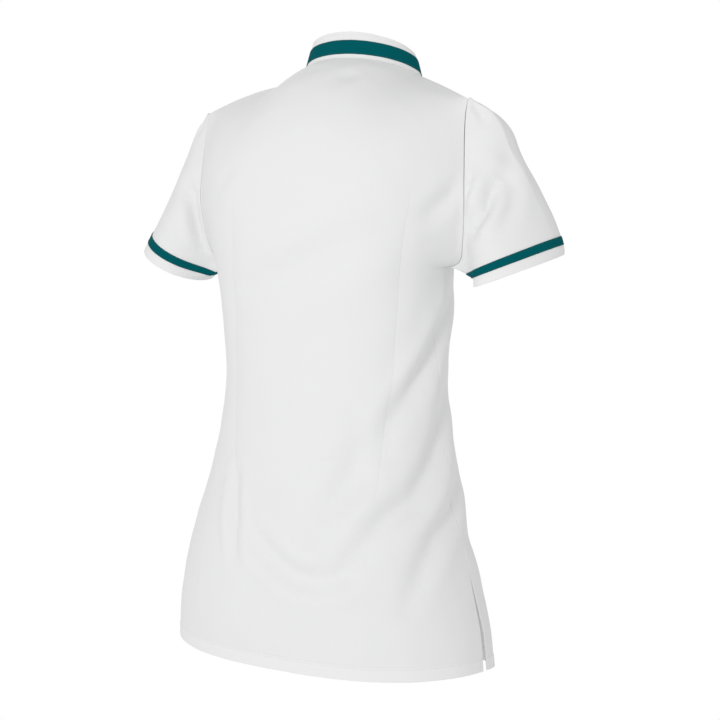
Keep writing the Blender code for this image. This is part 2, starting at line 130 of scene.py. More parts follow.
# A column of a table read at x, on cubic pieces whose slopes never overshoot the rows
def smoothValue(x, table, column):
    rows = np.array(table)
    xs, ys = rows[:, 0], rows[:, column]
    width = np.diff(xs)
    rise = np.diff(ys) / width
    slope = np.zeros(len(xs))
    slope[0], slope[-1] = rise[0], rise[-1]
    before, after = rise[:-1], rise[1:]
    turns = before * after <= 0
    slope[1:-1] = np.where(turns, 0.0, 2 * before * after / np.where(turns, 1.0, before + after))
    k = np.clip(np.searchsorted(xs, x, side="right") - 1, 0, len(width) - 1)
    t = np.clip((x - xs[k]) / width[k], 0, 1)
    h = width[k]
    start = (1 + 2 * t) * (1 - t) ** 2 * ys[k] + t * (1 - t) ** 2 * h * slope[k]
    end = t * t * (3 - 2 * t) * ys[k + 1] + t * t * (t - 1) * h * slope[k + 1]
    return start + end


# Points at fractions of the length of a smooth curve through the given points
def smoothPath(points, fractions):
    p = np.array(points, float)
    ends = np.vstack([2 * p[0] - p[1], p, 2 * p[-1] - p[-2]])
    t = np.linspace(0, 1, 25)[:-1, None]
    pieces = []
    for a, b, c, d in zip(ends, ends[1:], ends[2:], ends[3:]):
        square, cube = 2 * a - 5 * b + 4 * c - d, 3 * b - a - 3 * c + d
        pieces.append((2 * b + (c - a) * t + square * t**2 + cube * t**3) / 2)
    fine = np.vstack(pieces + [p[-1:]])
    length = np.concatenate([[0], np.cumsum(np.linalg.norm(np.diff(fine, axis=0), axis=1))])
    wanted = np.asarray(fractions) * length[-1]
    return np.stack([np.interp(wanted, length, fine[:, k]) for k in range(3)], axis=-1)


# Weights that read a natural cubic spline through evenly spaced values at the given positions
def splineWeights(count, at):
    system, right = np.zeros((count, count)), np.zeros((count, count))
    i = np.arange(1, count - 1)
    system[i, i - 1] = system[i, i + 1] = 1
    system[i, i] = 4
    right[i, i - 1] = right[i, i + 1] = 6
    right[i, i] = -12
    system[0, :2] = system[-1, :-3:-1] = 1, -1
    bend = np.linalg.solve(system, right)
    k = np.clip(at.astype(int), 0, count - 2)
    t = (at - k)[:, None]
    weights = np.zeros((len(at), count))
    weights[np.arange(len(at)), k] = 1 - t[:, 0]
    weights[np.arange(len(at)), k + 1] = t[:, 0]
    return weights + ((1 - t) ** 3 - (1 - t)) / 6 * bend[k] + (t**3 - t) / 6 * bend[k + 1]


# Positions from stretches given as (from, to, steps)
def stretches(*parts):
    return np.concatenate([np.linspace(a, b, n + 1)[:-1] for a, b, n in parts] + [[parts[-1][1]]])


# 0 at low, 1 at high, and 3 t squared less 2 t cubed between them
def smoothStep(x, low, high):
    t = np.clip((x - low) / (high - low), 0, 1)
    return t * t * (3 - 2 * t)


# 1 at zero, falling as e to the minus square of x over its half width
def bell(x, halfWidth):
    return np.exp(-((x / halfWidth) ** 2))


# Neck seam: an ellipse round the neck that slopes forward and drops at the front
def neckPoint(angle, side, front):
    x = side * neck["x"] + neck["halfWidth"] * np.sin(angle)
    forward = np.cos(angle) < 0 if front is None else np.full(np.shape(angle), front)
    depth = np.where(forward, neck["front"], neck["back"]) * np.cos(angle)
    drop = neck["frontDrop"] * np.clip(-np.cos(angle), 0, 1) ** 2
    z = neck["backZ"] - neck["slope"] * (neck["back"] - depth) - drop
    return np.stack([x, neck["y"] + depth, z], axis=-1)


# Neck and shoulder seam of half a face at column positions, from the centre line to the shoulder tip
def topLine(side, front, at):
    extra = cells["overlap"] if front else 0
    centre = math.asin(-side * neck["x"] / neck["halfWidth"])
    start = math.pi - centre if front else centre
    onNeck = start + (math.pi / 2 - start) * ((at - extra) / cells["neck"]).clip(0, 1)
    line = neckPoint(onNeck, side, front)
    share = ((at - extra - cells["neck"]) / cells["shoulder"]).clip(0, 1)[:, None]
    line = line + (np.array(armholeBack[-1]) - neckPoint(np.array(math.pi / 2), side, front)) * share
    line[:, 2] += cut["shoulderBow"][side] * np.sin(math.pi * share[:, 0])
    if extra:
        past = -cut["overlap"] * (1 - at / extra).clip(0, 1)
        angles = math.pi - np.arcsin((past - side * neck["x"]) / neck["halfWidth"])
        line = np.where((at < extra)[:, None], neckPoint(angles, side, front), line)
    return line


# Section angle of each control column at a height: even from the centre to the dart, and from there to the side
def columnAngles(z, front):
    width = smoothValue(z, bodySections, 1)
    dart = smoothValue(z, dartColumnFront if front else dartColumnBack, 1)
    atDart = math.asin(min(dart / width, 0.999) ** (cut["roundness"] / 2))
    count = cells["neck"] + cells["shoulder"]
    return np.interp(np.arange(count + 1), [0, cells["dart"], count], [0, atDart, math.pi / 2])


# Height of the hem above its level section: it rises backwards, across and at the sides
def hemRise(side, x, y, z, width):
    low = ((-0.45 - z) / (cut["length"] - 0.45)).clip(0) ** 2
    across = cut["hemCrossTilt"] * (side * x - cut["hemLevelX"]) + cut["hemSideRise"] * (x / width) ** 4
    return low * (cut["hemTilt"] * (y - cut["sideY"]) + across)


# Half a face. Below the underarm a row is a quarter of a superellipse. Above it a row ends on the armhole,
# and its depth rounds off towards the neck and shoulder seams
def halfFace(side, front):
    way = -1.0 if front else 1.0
    power = 2 / cut["roundness"]
    extra = cells["overlap"] if front else 0
    past = np.linspace(-cut["overlap"], 0, extra + 1)[:-1]
    half = cells["neck"] + cells["shoulder"]

    def section(x, width, depth):
        inside = (1 - (np.abs(x) / width) ** cut["roundness"]).clip(0)
        return cut["sideY"] + way * depth * inside ** (1 / cut["roundness"])

    rows = []
    for z in np.linspace(-cut["length"], cut["underarmZ"], cells["lower"] + 1):
        width = smoothValue(z, bodySections, 1)
        x = np.concatenate([past, width * np.sin(columnAngles(z, front)) ** power])
        y = section(x, width, smoothValue(z, bodySections, 3 if front else 2))
        rows.append(np.stack([x, y, z + hemRise(side, x, y, z, width)], axis=-1))
    top = topLine(side, front, np.arange(half + extra + 1))
    shareTop = top[extra:, 0] / top[-1, 0]
    roundFrom = rounding["frontZ"] if front else rounding["backZ"]
    column = np.concatenate([np.zeros(extra), np.linspace(0, 1, half + 1)])
    sharpness = rounding["centre"] + (rounding["tip"] - rounding["centre"]) * column
    for step in np.sin(np.linspace(0, math.pi / 2, cells["upper"] + 1))[1:]:
        edge = smoothPath(armholeFront if front else armholeBack, [step])[0]
        rise = (edge[2] - cut["underarmZ"]) / (top[-1, 2] - cut["underarmZ"])
        z = cut["underarmZ"] + rise * (top[:, 2] - cut["underarmZ"])
        blend = rise * rise * (3 - 2 * rise)
        nearTop = ((z - roundFrom) / (top[:, 2] - roundFrom)).clip(0, 1)
        rounded = (1 - nearTop ** rounding["power"]).clip(0) ** (1 / sharpness)
        width = smoothValue(edge[2], bodySections, 1)
        depth = smoothValue(z, bodySections, 3 if front else 2)
        unrounded = top[-1, 1] + (edge[1] - top[-1, 1]) / max(rounded[-1], 0.2)
        reach = min(max(way * (unrounded - cut["sideY"]) / depth[-1], 0.0), 0.95)
        lastAngle = math.acos(reach ** (cut["roundness"] / 2))
        across = np.sin(columnAngles(cut["underarmZ"], front) * lastAngle / (math.pi / 2)) ** power
        x = width * (across + (across[-1] * shareTop - across) * blend)
        x = np.concatenate([past * (1 - blend) + top[:extra, 0] * blend, x])
        y = top[:, 1] + (section(x, width, depth) - top[:, 1]) * rounded
        row = np.stack([x, y, z], axis=-1)
        rows.append(row + (edge - row[-1]) * column[:, None] ** rounding["wing"])
    grid = np.array(rows)
    grid[..., 0] = grid[..., 0] * side + smoothValue(grid[..., 2], bodySections, 4)
    return grid


# Fairs the upper rows between the fixed seams: the least squares sum of the second differences along
# rows, along columns and across both, with a light hold on the first places
def evenOut(grid, first):
    rows, columns = grid.shape[:2]
    index = np.arange(rows * columns).reshape(rows, columns)
    free = np.zeros((rows, columns), bool)
    free[cells["lower"] + 1 - rounding["evenedRows"]:-1, first:-1] = True
    stencils = (
        (((0, 0), 1), ((1, 0), -2), ((2, 0), 1)),
        (((0, 0), 1), ((0, 1), -2), ((0, 2), 1)),
        (((0, 0), 1.4), ((1, 1), 1.4), ((0, 1), -1.4), ((1, 0), -1.4)),
    )
    system = []
    for stencil in stencils:
        high, wide = (max(offset[k] for offset, _ in stencil) for k in (0, 1))
        count = (rows - high) * (columns - wide)
        block = np.zeros((count, rows * columns))
        for (down, along), weight in stencil:
            reached = index[down:rows - high + down, along:columns - wide + along]
            block[np.arange(count), reached.ravel()] = weight
        system.append(block)
    system.append(np.eye(rows * columns) * rounding["hold"])
    system = np.concatenate(system)
    points = grid.reshape(-1, 3).copy()
    wanted = np.zeros((len(system), 3))
    wanted[-len(points):] = points * rounding["hold"]
    moving = free.ravel()
    used = np.abs(system[:, moving]).sum(axis=1) > 0
    right = wanted[used] - system[used][:, ~moving] @ points[~moving]
    points[moving] = np.linalg.lstsq(system[used][:, moving], right, rcond=None)[0]
    return points.reshape(grid.shape)


# The seam edge beside the sleeve and along the side, at row positions
def sideEdge(side, front, at):
    low, high = at[at <= cells["lower"]], at[at > cells["lower"]]
    z = -cut["length"] + (cut["length"] + cut["underarmZ"]) * low / cells["lower"]
    width = smoothValue(z, bodySections, 1)
    y = np.full(len(z), cut["sideY"])
    lower = np.stack([width, y, z + hemRise(side, width, y, z, width)], axis=-1)
    steps = np.sin((high - cells["lower"]) / cells["upper"] * math.pi / 2)
    line = np.vstack([lower, smoothPath(armholeFront if front else armholeBack, steps)])
    line[:, 0] = line[:, 0] * side + smoothValue(line[:, 2], bodySections, 4)
    return line


# Fine surface through a control grid, with its edges moved onto the exact seam lines
def fineFace(controls, rowsAt, columnsAt, edges, top):
    fine = np.einsum("ri,ijk,cj->rck", splineWeights(len(controls), rowsAt), controls,
                     splineWeights(controls.shape[1], columnsAt))
    for column, line in edges:
        away = np.abs(columnsAt - columnsAt[column])
        fine += (line - fine[:, column])[:, None] * bell(away, 1.2)[None, :, None]
    away = rowsAt[-1] - rowsAt
    fine += (top - fine[-1])[None] * bell(away, 1.0)[:, None, None]
    for column, line in edges:
        fine[:, column] = line
    return fine


# Unit normals that point away from the middle of each row
def gridNormals(grid, closed=False):
    along = np.gradient(grid, axis=0)
    across = np.roll(grid, -1, 1) - np.roll(grid, 1, 1) if closed else np.gradient(grid, axis=1)
    normal = np.cross(across, along)
    normal /= np.linalg.norm(normal, axis=-1, keepdims=True).clip(1e-12)
    outward = grid - grid.mean(axis=1, keepdims=True)
    return normal if (normal * outward).sum() > 0 else -normal


# Length from the first point of each row or column: running sums of the steps
def lengthsAlong(grid, axis):
    step = np.linalg.norm(np.diff(grid, axis=axis), axis=-1)
    start = np.zeros_like(step[:1] if axis == 0 else step[:, :1])
    return np.concatenate([start, np.cumsum(step, axis=axis)], axis=axis)


# Depth of soft troughs pressed in along paths: a bell across, raised shoulders beside it, thinner at its ends
def foldDepth(points, folds):
    depth = np.zeros(points.shape[:-1])
    for trough, halfWidth, shoulder, path in folds:
        line = smoothPath(path, np.linspace(0, 1, 41))
        low, high = line.min(0) - 4 * halfWidth, line.max(0) + 4 * halfWidth
        near = ((points > low) & (points < high)).all(axis=-1)
        gap = np.linalg.norm(points[near][:, None] - line, axis=-1)
        share = gap.argmin(axis=1) / 40
        away = gap.min(axis=1) / halfWidth
        across = np.exp(-(away**2)) - shoulder * np.exp(-((away - 1.9) ** 2) / 0.9)
        depth[near] += trough * across * np.sin(math.pi * (0.05 + 0.90 * share)) ** 0.7
    return depth


# The same folds with their points moved onto the nearest of the cloth's points
def laidOn(points, folds):
    laid = []
    for depth, halfWidth, shoulder, path in folds:
        nearest = [np.linalg.norm(points - place, axis=-1).argmin() for place in np.array(path)]
        laid.append((depth, halfWidth, shoulder, points[nearest]))
    return laid


# Distance along each row to the dart, whose x is read from a table at the row's own height
def dartDistance(grid, run, table):
    offset = grid[..., 0] - smoothValue(grid[..., 2], table, 1)
    way = np.sign(offset[0, -1] - offset[0, 0])
    crossing = [np.interp(0, way * row, lengths) for row, lengths in zip(offset, run)]
    return run - np.array(crossing)[:, None]


# Small unevenness of worn cloth: a sum of waves in seeded directions, of seeded lengths
def unevenness(points, seed, height, shortest, longest, waves=14):
    draw = np.random.default_rng(seed)
    total = np.zeros(points.shape[:-1])
    for _ in range(waves):
        way = draw.normal(size=3)
        way *= 2 * math.pi / np.linalg.norm(way) / draw.uniform(shortest, longest)
        total += np.sin(points @ way + draw.uniform(0, 2 * math.pi))
    return total / waves**0.5 * height


# Drop of a rounded edge: a quarter circle of the given radius, at a distance from the edge
def edgeDrop(distance, radius):
    return radius * (1 - np.sqrt(1 - (1 - (distance / radius).clip(0, 1)) ** 2))


# The two faces of a wall with rounded rims: the grid moved out by its relief, and by the wall back in
def wallFaces(grid, normal, relief, wall, drop):
    outer = grid + normal * (relief - drop)[..., None]
    return outer, outer - normal * (wall - 2 * drop)[..., None]


# A cloth piece in the place of its solid: outer points, inner ones, and a rim between them
def clothPiece(name, node, outer, inner, closed, uv, attributes, material):
    rows, columns = outer.shape[:2]
    index = np.arange(rows * columns).reshape(rows, columns)
    left = index if closed else index[:, :-1]
    right = np.roll(index, -1, axis=1) if closed else index[:, 1:]
    faces = np.stack([left[:-1], right[:-1], right[1:], left[1:]], axis=-1).reshape(-1, 4)
    quads = outer.reshape(-1, 3)[faces]
    facing = np.cross(quads[:, 1] - quads[:, 0], quads[:, 3] - quads[:, 0])
    if (facing * (outer - inner).reshape(-1, 3)[faces[:, 0]]).sum() < 0:
        faces = faces[:, ::-1]
    below = index.size
    allFaces = [faces, faces[:, ::-1] + below]
    rims = [(left[0], right[0]), (right[-1], left[-1])]
    if not closed:
        rims += [(index[1:, 0], index[:-1, 0]), (index[:-1, -1], index[1:, -1])]
    for a, b in rims:
        strip = np.stack([a, b, b + below, a + below], axis=-1)
        allFaces.append(strip)
    mesh = bpy.data.meshes.new(name)
    points = np.concatenate([outer.reshape(-1, 3), inner.reshape(-1, 3)])
    mesh.from_pydata(points, [], np.concatenate(allFaces).tolist())
    layer = mesh.uv_layers.new(name="cloth")
    corner = np.zeros(len(mesh.loops), np.int32)
    mesh.loops.foreach_get("vertex_index", corner)
    flat = np.concatenate([uv.reshape(-1, 2), uv.reshape(-1, 2)])
    layer.data.foreach_set("uv", flat[corner].astype(np.float32).ravel())
    for key, values in attributes.items():
        field = mesh.attributes.new(key, "FLOAT", "POINT")
        field.data.foreach_set("value", np.concatenate([values.ravel(), values.ravel()]).astype(np.float32))
    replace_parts(finishPiece(name, mesh, material), node)


# Links a mesh as a piece of the tunic, with its faces turned outwards
def finishPiece(name, mesh, material):
    work = bmesh.new()
    work.from_mesh(mesh)
    bmesh.ops.recalc_face_normals(work, faces=work.faces)
    work.to_mesh(mesh)
    work.free()
    mesh.shade_smooth()
    mesh.materials.append(material)
    piece = bpy.data.objects.new(name, mesh)
    bpy.context.scene.collection.objects.link(piece)
    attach(piece, "root")
    return piece


# Materials
class Nodes:
    # Short ways to add and join the nodes of one material
    def __init__(self, name):
        self.material = bpy.data.materials.new(name)
        self.material.use_nodes = True
        self.tree = self.material.node_tree
        self.shader = self.tree.nodes["Principled BSDF"]

    def add(self, kind, inputs=None, **settings):
        node = self.tree.nodes.new(kind)
        for key, value in settings.items():
            setattr(node, key, value)
        for key, value in (inputs or {}).items():
            if hasattr(value, "is_output"):
                self.tree.links.new(value, node.inputs[key])
            else:
                node.inputs[key].default_value = value
        return node

    def math(self, operation, a, b=0.0):
        return self.add("ShaderNodeMath", {0: a, 1: b}, operation=operation).outputs[0]

    # A bell of the given half width over a value
    def bell(self, value, halfWidth):
        scaled = self.math("DIVIDE", value, halfWidth)
        return self.math("EXPONENT", self.math("MULTIPLY", self.math("MULTIPLY", scaled, scaled), -1.0))

    def join(self, output, socket):
        self.tree.links.new(output, self.shader.inputs[socket])


clothLook = {
    "white": (0.815, 0.815, 0.815, 1),
    "whiteShade": (0.780, 0.781, 0.785, 1),
    "doubledWhite": (0.825, 0.825, 0.825, 1),
    "teal": (0.0, 0.108, 0.122, 1),
    "tealShade": (0.0, 0.078, 0.092, 1),
    "thread": 0.00042,      # spacing of the weave
    "tapeThread": 0.0007,
    "roughness": 0.88,
}


# Woven cloth: fine ribs across and along the piece's own UV, soft colour patches, painted shade along the sewn
# dart lines and a lighter tone where the cloth lies double
def wovenMaterial(name, light, shade, spacing, doubled=None, sheen=0.12, twill=0.0, specular=0.15):
    n = Nodes(name)
    uv = n.add("ShaderNodeUVMap", uv_map="cloth").outputs[0]
    turned = n.add("ShaderNodeMapping", {"Vector": uv, "Rotation": (0, 0, twill)}).outputs[0]
    ribs = {"Vector": turned, "Scale": 1 / spacing / 2 / math.pi, "Distortion": 0.4, "Detail": 1.0,
            "Detail Scale": 2.0}
    warp = n.add("ShaderNodeTexWave", ribs, bands_direction="X").outputs[1]
    weft = n.add("ShaderNodeTexWave", ribs, bands_direction="Y").outputs[1]
    weave = n.math("MULTIPLY", warp, weft)
    place = n.add("ShaderNodeTexCoord").outputs["Object"]
    patches = n.add("ShaderNodeTexNoise", {"Vector": place, "Scale": 28.0, "Detail": 3.0, "Roughness": 0.6})
    slubs = n.add("ShaderNodeTexNoise", {"Vector": place, "Scale": 900.0, "Detail": 2.0, "Roughness": 0.5})
    mix = n.math("MULTIPLY", n.math("ADD", patches.outputs[0], slubs.outputs[0]), 0.35)
    mix = n.math("ADD", mix, n.math("MULTIPLY", weave, -0.25))
    height = n.math("ADD", n.math("MULTIPLY", weave, 0.00004), n.math("MULTIPLY", slubs.outputs[0], 0.00003))
    if doubled:
        # Painted shade: the colour darkens in a narrow line along each dart, as the shade of its sewn groove
        dart = n.add("ShaderNodeAttribute", attribute_name="dartAway").outputs["Fac"]
        paintedShade = n.add("ShaderNodeAttribute", attribute_name="dartPaintedShade").outputs["Fac"]
        line = n.math("MULTIPLY", n.bell(dart, 0.0007), paintedShade)
        mix = n.math("ADD", mix, n.math("MULTIPLY", line, 0.32))
        height = n.math("SUBTRACT", height, n.math("MULTIPLY", line, 0.00025))
    ramp = n.add("ShaderNodeMix", {0: n.math("ADD", mix, 0.05), 6: light, 7: shade}, data_type="RGBA")
    if doubled:
        lies = n.add("ShaderNodeAttribute", attribute_name="doubled").outputs["Fac"]
        ramp = n.add("ShaderNodeMix", {0: lies, 6: ramp.outputs[2], 7: doubled}, data_type="RGBA")
    n.join(ramp.outputs[2], "Base Color")
    bump = n.add("ShaderNodeBump", {"Height": height, "Strength": 0.8, "Distance": 1.0})
    n.join(bump.outputs[0], "Normal")
    n.shader.inputs["Roughness"].default_value = clothLook["roughness"]
    n.shader.inputs["Specular IOR Level"].default_value = specular
    n.shader.inputs["Sheen Weight"].default_value = sheen
    n.shader.inputs["Sheen Roughness"].default_value = 0.5
    return n.material


# Thread and moulded plastic: one colour, darker by an eighth in soft patches of the given grain
def plainMaterial(name, colour, roughness, grain):
    n = Nodes(name)
    place = n.add("ShaderNodeTexCoord").outputs["Object"]
    noise = n.add("ShaderNodeTexNoise", {"Vector": place, "Scale": grain, "Detail": 3.0}).outputs[0]
    darker = tuple(c * 0.88 for c in colour[:3]) + (1,)
    ramp = n.add("ShaderNodeMix", {0: noise, 6: colour, 7: darker}, data_type="RGBA")
    n.join(ramp.outputs[2], "Base Color")
    bump = n.add("ShaderNodeBump", {"Height": noise, "Strength": 0.25, "Distance": 0.0002})
    n.join(bump.outputs[0], "Normal")
    n.shader.inputs["Roughness"].default_value = roughness
    return n.material


print("materials")
whiteCloth = wovenMaterial("whiteCloth", clothLook["white"], clothLook["whiteShade"], clothLook["thread"],
                           doubled=clothLook["doubledWhite"])
tealTape = wovenMaterial("tealTape", clothLook["teal"], clothLook["tealShade"], clothLook["tapeThread"],
                         sheen=0.0, twill=math.radians(45), specular=0.03)
whiteThread = plainMaterial("whiteThread", (0.82, 0.82, 0.82, 1), 0.7, 3000.0)
tealThread = plainMaterial("tealThread", (0.0, 0.10, 0.115, 1), 0.6, 3000.0)
buttonPlastic = plainMaterial("buttonPlastic", (0.76, 0.76, 0.75, 1), 0.32, 60.0)

# Darts sewn into the panels: z and x from the lower end to the upper one
backDarts = (
    ((-0.531, -0.1100), (-0.413, -0.1125), (-0.335, -0.1180), (-0.270, -0.1245), (-0.210, -0.1340),
     (-0.156, -0.1440)),
    ((-0.590, 0.0510), (-0.523, 0.0610), (-0.456, 0.0780), (-0.386, 0.0870), (-0.291, 0.0850),
     (-0.220, 0.0775), (-0.155, 0.0750)),
)
frontDart = ((-0.545, 0.100), (-0.460, 0.094), (-0.380, 0.090), (-0.285, 0.092))

# Folds of the back: depth, half width, share of the raised shoulders, points on the cloth
backFolds = (
    (0.0084, 0.0125, 0.40, ((-0.140, -0.050, -0.285), (-0.141, -0.016, -0.325), (-0.138, 0.005, -0.358),
                            (-0.130, 0.031, -0.393), (-0.118, 0.055, -0.426), (-0.110, 0.070, -0.460))),
    (0.0084, 0.0140, 0.40, ((-0.136, -0.045, -0.395), (-0.145, -0.004, -0.449), (-0.148, 0.022, -0.481),
                            (-0.143, 0.050, -0.512), (-0.133, 0.069, -0.526), (-0.115, 0.092, -0.551),
                            (-0.098, 0.111, -0.598))),
    (0.0066, 0.0130, 0.35, ((-0.150, -0.045, -0.490), (-0.163, -0.006, -0.534), (-0.162, 0.035, -0.566),
                            (-0.157, 0.063, -0.597), (-0.148, 0.080, -0.635))),
    (0.0075, 0.0170, 0.30, ((-0.096, 0.076, -0.435), (-0.084, 0.095, -0.493), (-0.050, 0.115, -0.540))),
    (0.0076, 0.0130, 0.35, ((0.045, 0.119, -0.539), (0.021, 0.126, -0.562), (-0.001, 0.130, -0.585),
                            (-0.030, 0.129, -0.602), (-0.056, 0.126, -0.605), (-0.081, 0.118, -0.599),
                            (-0.095, 0.110, -0.570))),
    (0.0040, 0.0085, 0.70, ((0.069, 0.100, -0.490), (0.060, 0.112, -0.540), (0.051, 0.127, -0.590))),
    (0.0070, 0.0230, 0.20, ((-0.107, 0.077, -0.208), (-0.011, 0.099, -0.257), (0.075, 0.084, -0.290))),
    (0.0048, 0.0110, 0.25, ((-0.182, 0.009, -0.161), (-0.165, 0.030, -0.180), (-0.151, 0.043, -0.195))),
    (0.0016, 0.0100, 0.20, ((0.079, 0.089, -0.141), (0.095, 0.083, -0.150), (0.108, 0.076, -0.160))),
    (0.0030, 0.0110, 0.20, ((-0.054, 0.023, -0.024), (-0.046, 0.034, -0.030), (-0.037, 0.045, -0.036))),
    (0.0012, 0.0100, 0.20, ((0.001, 0.019, -0.013), (0.017, 0.031, -0.023))),
    (0.0010, 0.0024, 0.40, ((-0.048, 0.112, -0.461), (-0.062, 0.108, -0.464), (-0.076, 0.103, -0.465))),
)

# Folds of the fronts, like those of the back
frontFolds = (
    backFolds[0], backFolds[1], backFolds[2],
    (0.0035, 0.016, 0.25, ((0.145, -0.030, -0.330), (0.130, -0.070, -0.375), (0.100, -0.095, -0.405))),
    (0.0035, 0.018, 0.25, ((-0.145, -0.060, -0.230), (-0.120, -0.100, -0.275), (-0.080, -0.120, -0.290))),
    (0.0035, 0.018, 0.25, ((0.145, -0.060, -0.230), (0.120, -0.100, -0.270), (0.085, -0.120, -0.300))),
    (0.0040, 0.020, 0.25, ((-0.175, -0.040, -0.560), (-0.120, -0.090, -0.610), (-0.060, -0.110, -0.660))),
    (0.0030, 0.020, 0.25, ((0.165, -0.050, -0.520), (0.120, -0.085, -0.570), (0.070, -0.105, -0.640))),
)


# Relief of darts and turned edges, in metres. A pair is a depth and a half width
sewn = {
    "dartGroove": (0.00028, 0.0025), "dartDip": (0.0011, 0.011),
    "dartRun": (0.04, 0.07),         # stretches over which a dart starts at its foot and ends at its top
    # Reach of the painted shade along each dart: its fade at both ends, how far beside the dart it is kept, and
    # the stretch over which it sets in
    "dartShadeRun": 0.03, "dartShadeFrom": 0.012, "dartShadeFull": 0.006,
    "puckerLength": 0.017, "puckerShare": 0.25,
    "unevenness": (0.00022, 0.022, 0.07),   # height, shortest and longest wave
    "turnRise": 0.00045, "turnBlend": 0.001, "turnGroove": (0.00045, 0.0016),
    "rippleLength": 0.011, "rippleShare": 0.5,
    "seamRoll": 0.0007,
}


# Share of a turned-up edge: 1 from the edge up to its depth, 0 past it, with a short blend
def turnedShare(fromEdge, depth):
    return smoothStep(fromEdge, depth + sewn["turnBlend"], depth - sewn["turnBlend"])


# How far each point stands out of the plain surface: minus the folds, minus a groove and a wide dip on each
# dart, plus unevenness, plus the turned edges with a rippled groove on their stitch line
def clothRelief(points, run, fromHem, fromSlit, folds, darts, seed):
    relief = -foldDepth(points, folds)
    nearest, paintedShade = np.full(points.shape[:-1], 0.05), np.zeros(points.shape[:-1])
    x, z = points[..., 0], points[..., 2]
    pucker = 1 + sewn["puckerShare"] * np.sin(z * 2 * math.pi / sewn["puckerLength"] + 2 * np.sin(z * 60))
    for table in darts:
        away = dartDistance(points, run, table)
        low, high = table[0][0], table[-1][0]
        foot, top = sewn["dartRun"]
        ends = smoothStep(z, low, low + foot) * smoothStep(high - z, 0, top)
        relief -= sewn["dartGroove"][0] * ends * pucker * bell(away, sewn["dartGroove"][1])
        relief -= sewn["dartDip"][0] * bell(away, sewn["dartDip"][1]) * ends
        closer = np.abs(away) < np.abs(nearest)
        nearest = np.where(closer, away, nearest)
        # Painted shade along the dart: where it shows, faded at the dart's ends and kept to points near the dart
        fade = smoothStep(z, low, low + sewn["dartShadeRun"]) * smoothStep(high - z, 0, sewn["dartShadeRun"])
        beside = smoothStep(sewn["dartShadeFrom"] - np.abs(away), 0, sewn["dartShadeFull"])
        paintedShade = np.where(closer, fade * beside, paintedShade)
    relief += unevenness(points, seed, *sewn["unevenness"])
    doubled = turnedShare(fromHem, cut["hemDepth"])
    turnUp = np.maximum(doubled, turnedShare(fromSlit, cut["slitHem"]))
    line = np.minimum(np.abs(fromHem - cut["hemDepth"]), np.abs(fromSlit - cut["slitHem"]))
    ripple = 1 + sewn["rippleShare"] * np.sin(x * 2 * math.pi / sewn["rippleLength"] + 3 * np.sin(x * 45))
    relief += sewn["turnRise"] * turnUp - sewn["turnGroove"][0] * ripple * bell(line, sewn["turnGroove"][1])
    return relief, turnUp, {"dartAway": nearest, "dartPaintedShade": paintedShade, "doubled": doubled}


# Direction of the relief: the surface's own normal, turned to plain x at the side seams so that panels meet.
# The turn fades with the distance from the seam and above the underarm, over seamTurn cells
def reliefNormals(grid, seams, seamTurn=6):
    normal = gridNormals(grid)
    above = (np.arange(len(grid)) - rowsLower).clip(0)[:, None, None]
    for column in seams:
        away = np.abs(np.arange(grid.shape[1]) - (column % grid.shape[1]))
        weight = bell(away, seamTurn)[None, :, None] * bell(above, seamTurn)
        plain = np.array([np.sign(grid[0, column, 0]), 0.0, 0.0])
        normal = normal * (1 - weight) + plain * weight
    return normal / np.linalg.norm(normal, axis=-1, keepdims=True)


# Share of the seam groove at a height: full above the higher end, a tenth below the lower one
def seamDepth(z):
    return 0.10 + 0.90 * smoothStep(z, -0.200, -0.110)


# The valley beside the lower armhole seam is filled: the cloth on both sides of a seam point moves the same
# way, mostly back or forward and down, less with its distance from the seam
def valleyFill(seamZ, away, side, way):
    share = smoothStep(-seamZ, 0.125, 0.165) * smoothStep(seamZ, -0.250, -0.222)
    amount = cut["valleyFill"] * share * bell(away, cut["valleyReach"])
    direction = np.broadcast_arrays(side * -0.05, way * 0.87, -0.49 + 0 * way)
    return amount[..., None] * np.stack(direction, axis=-1)


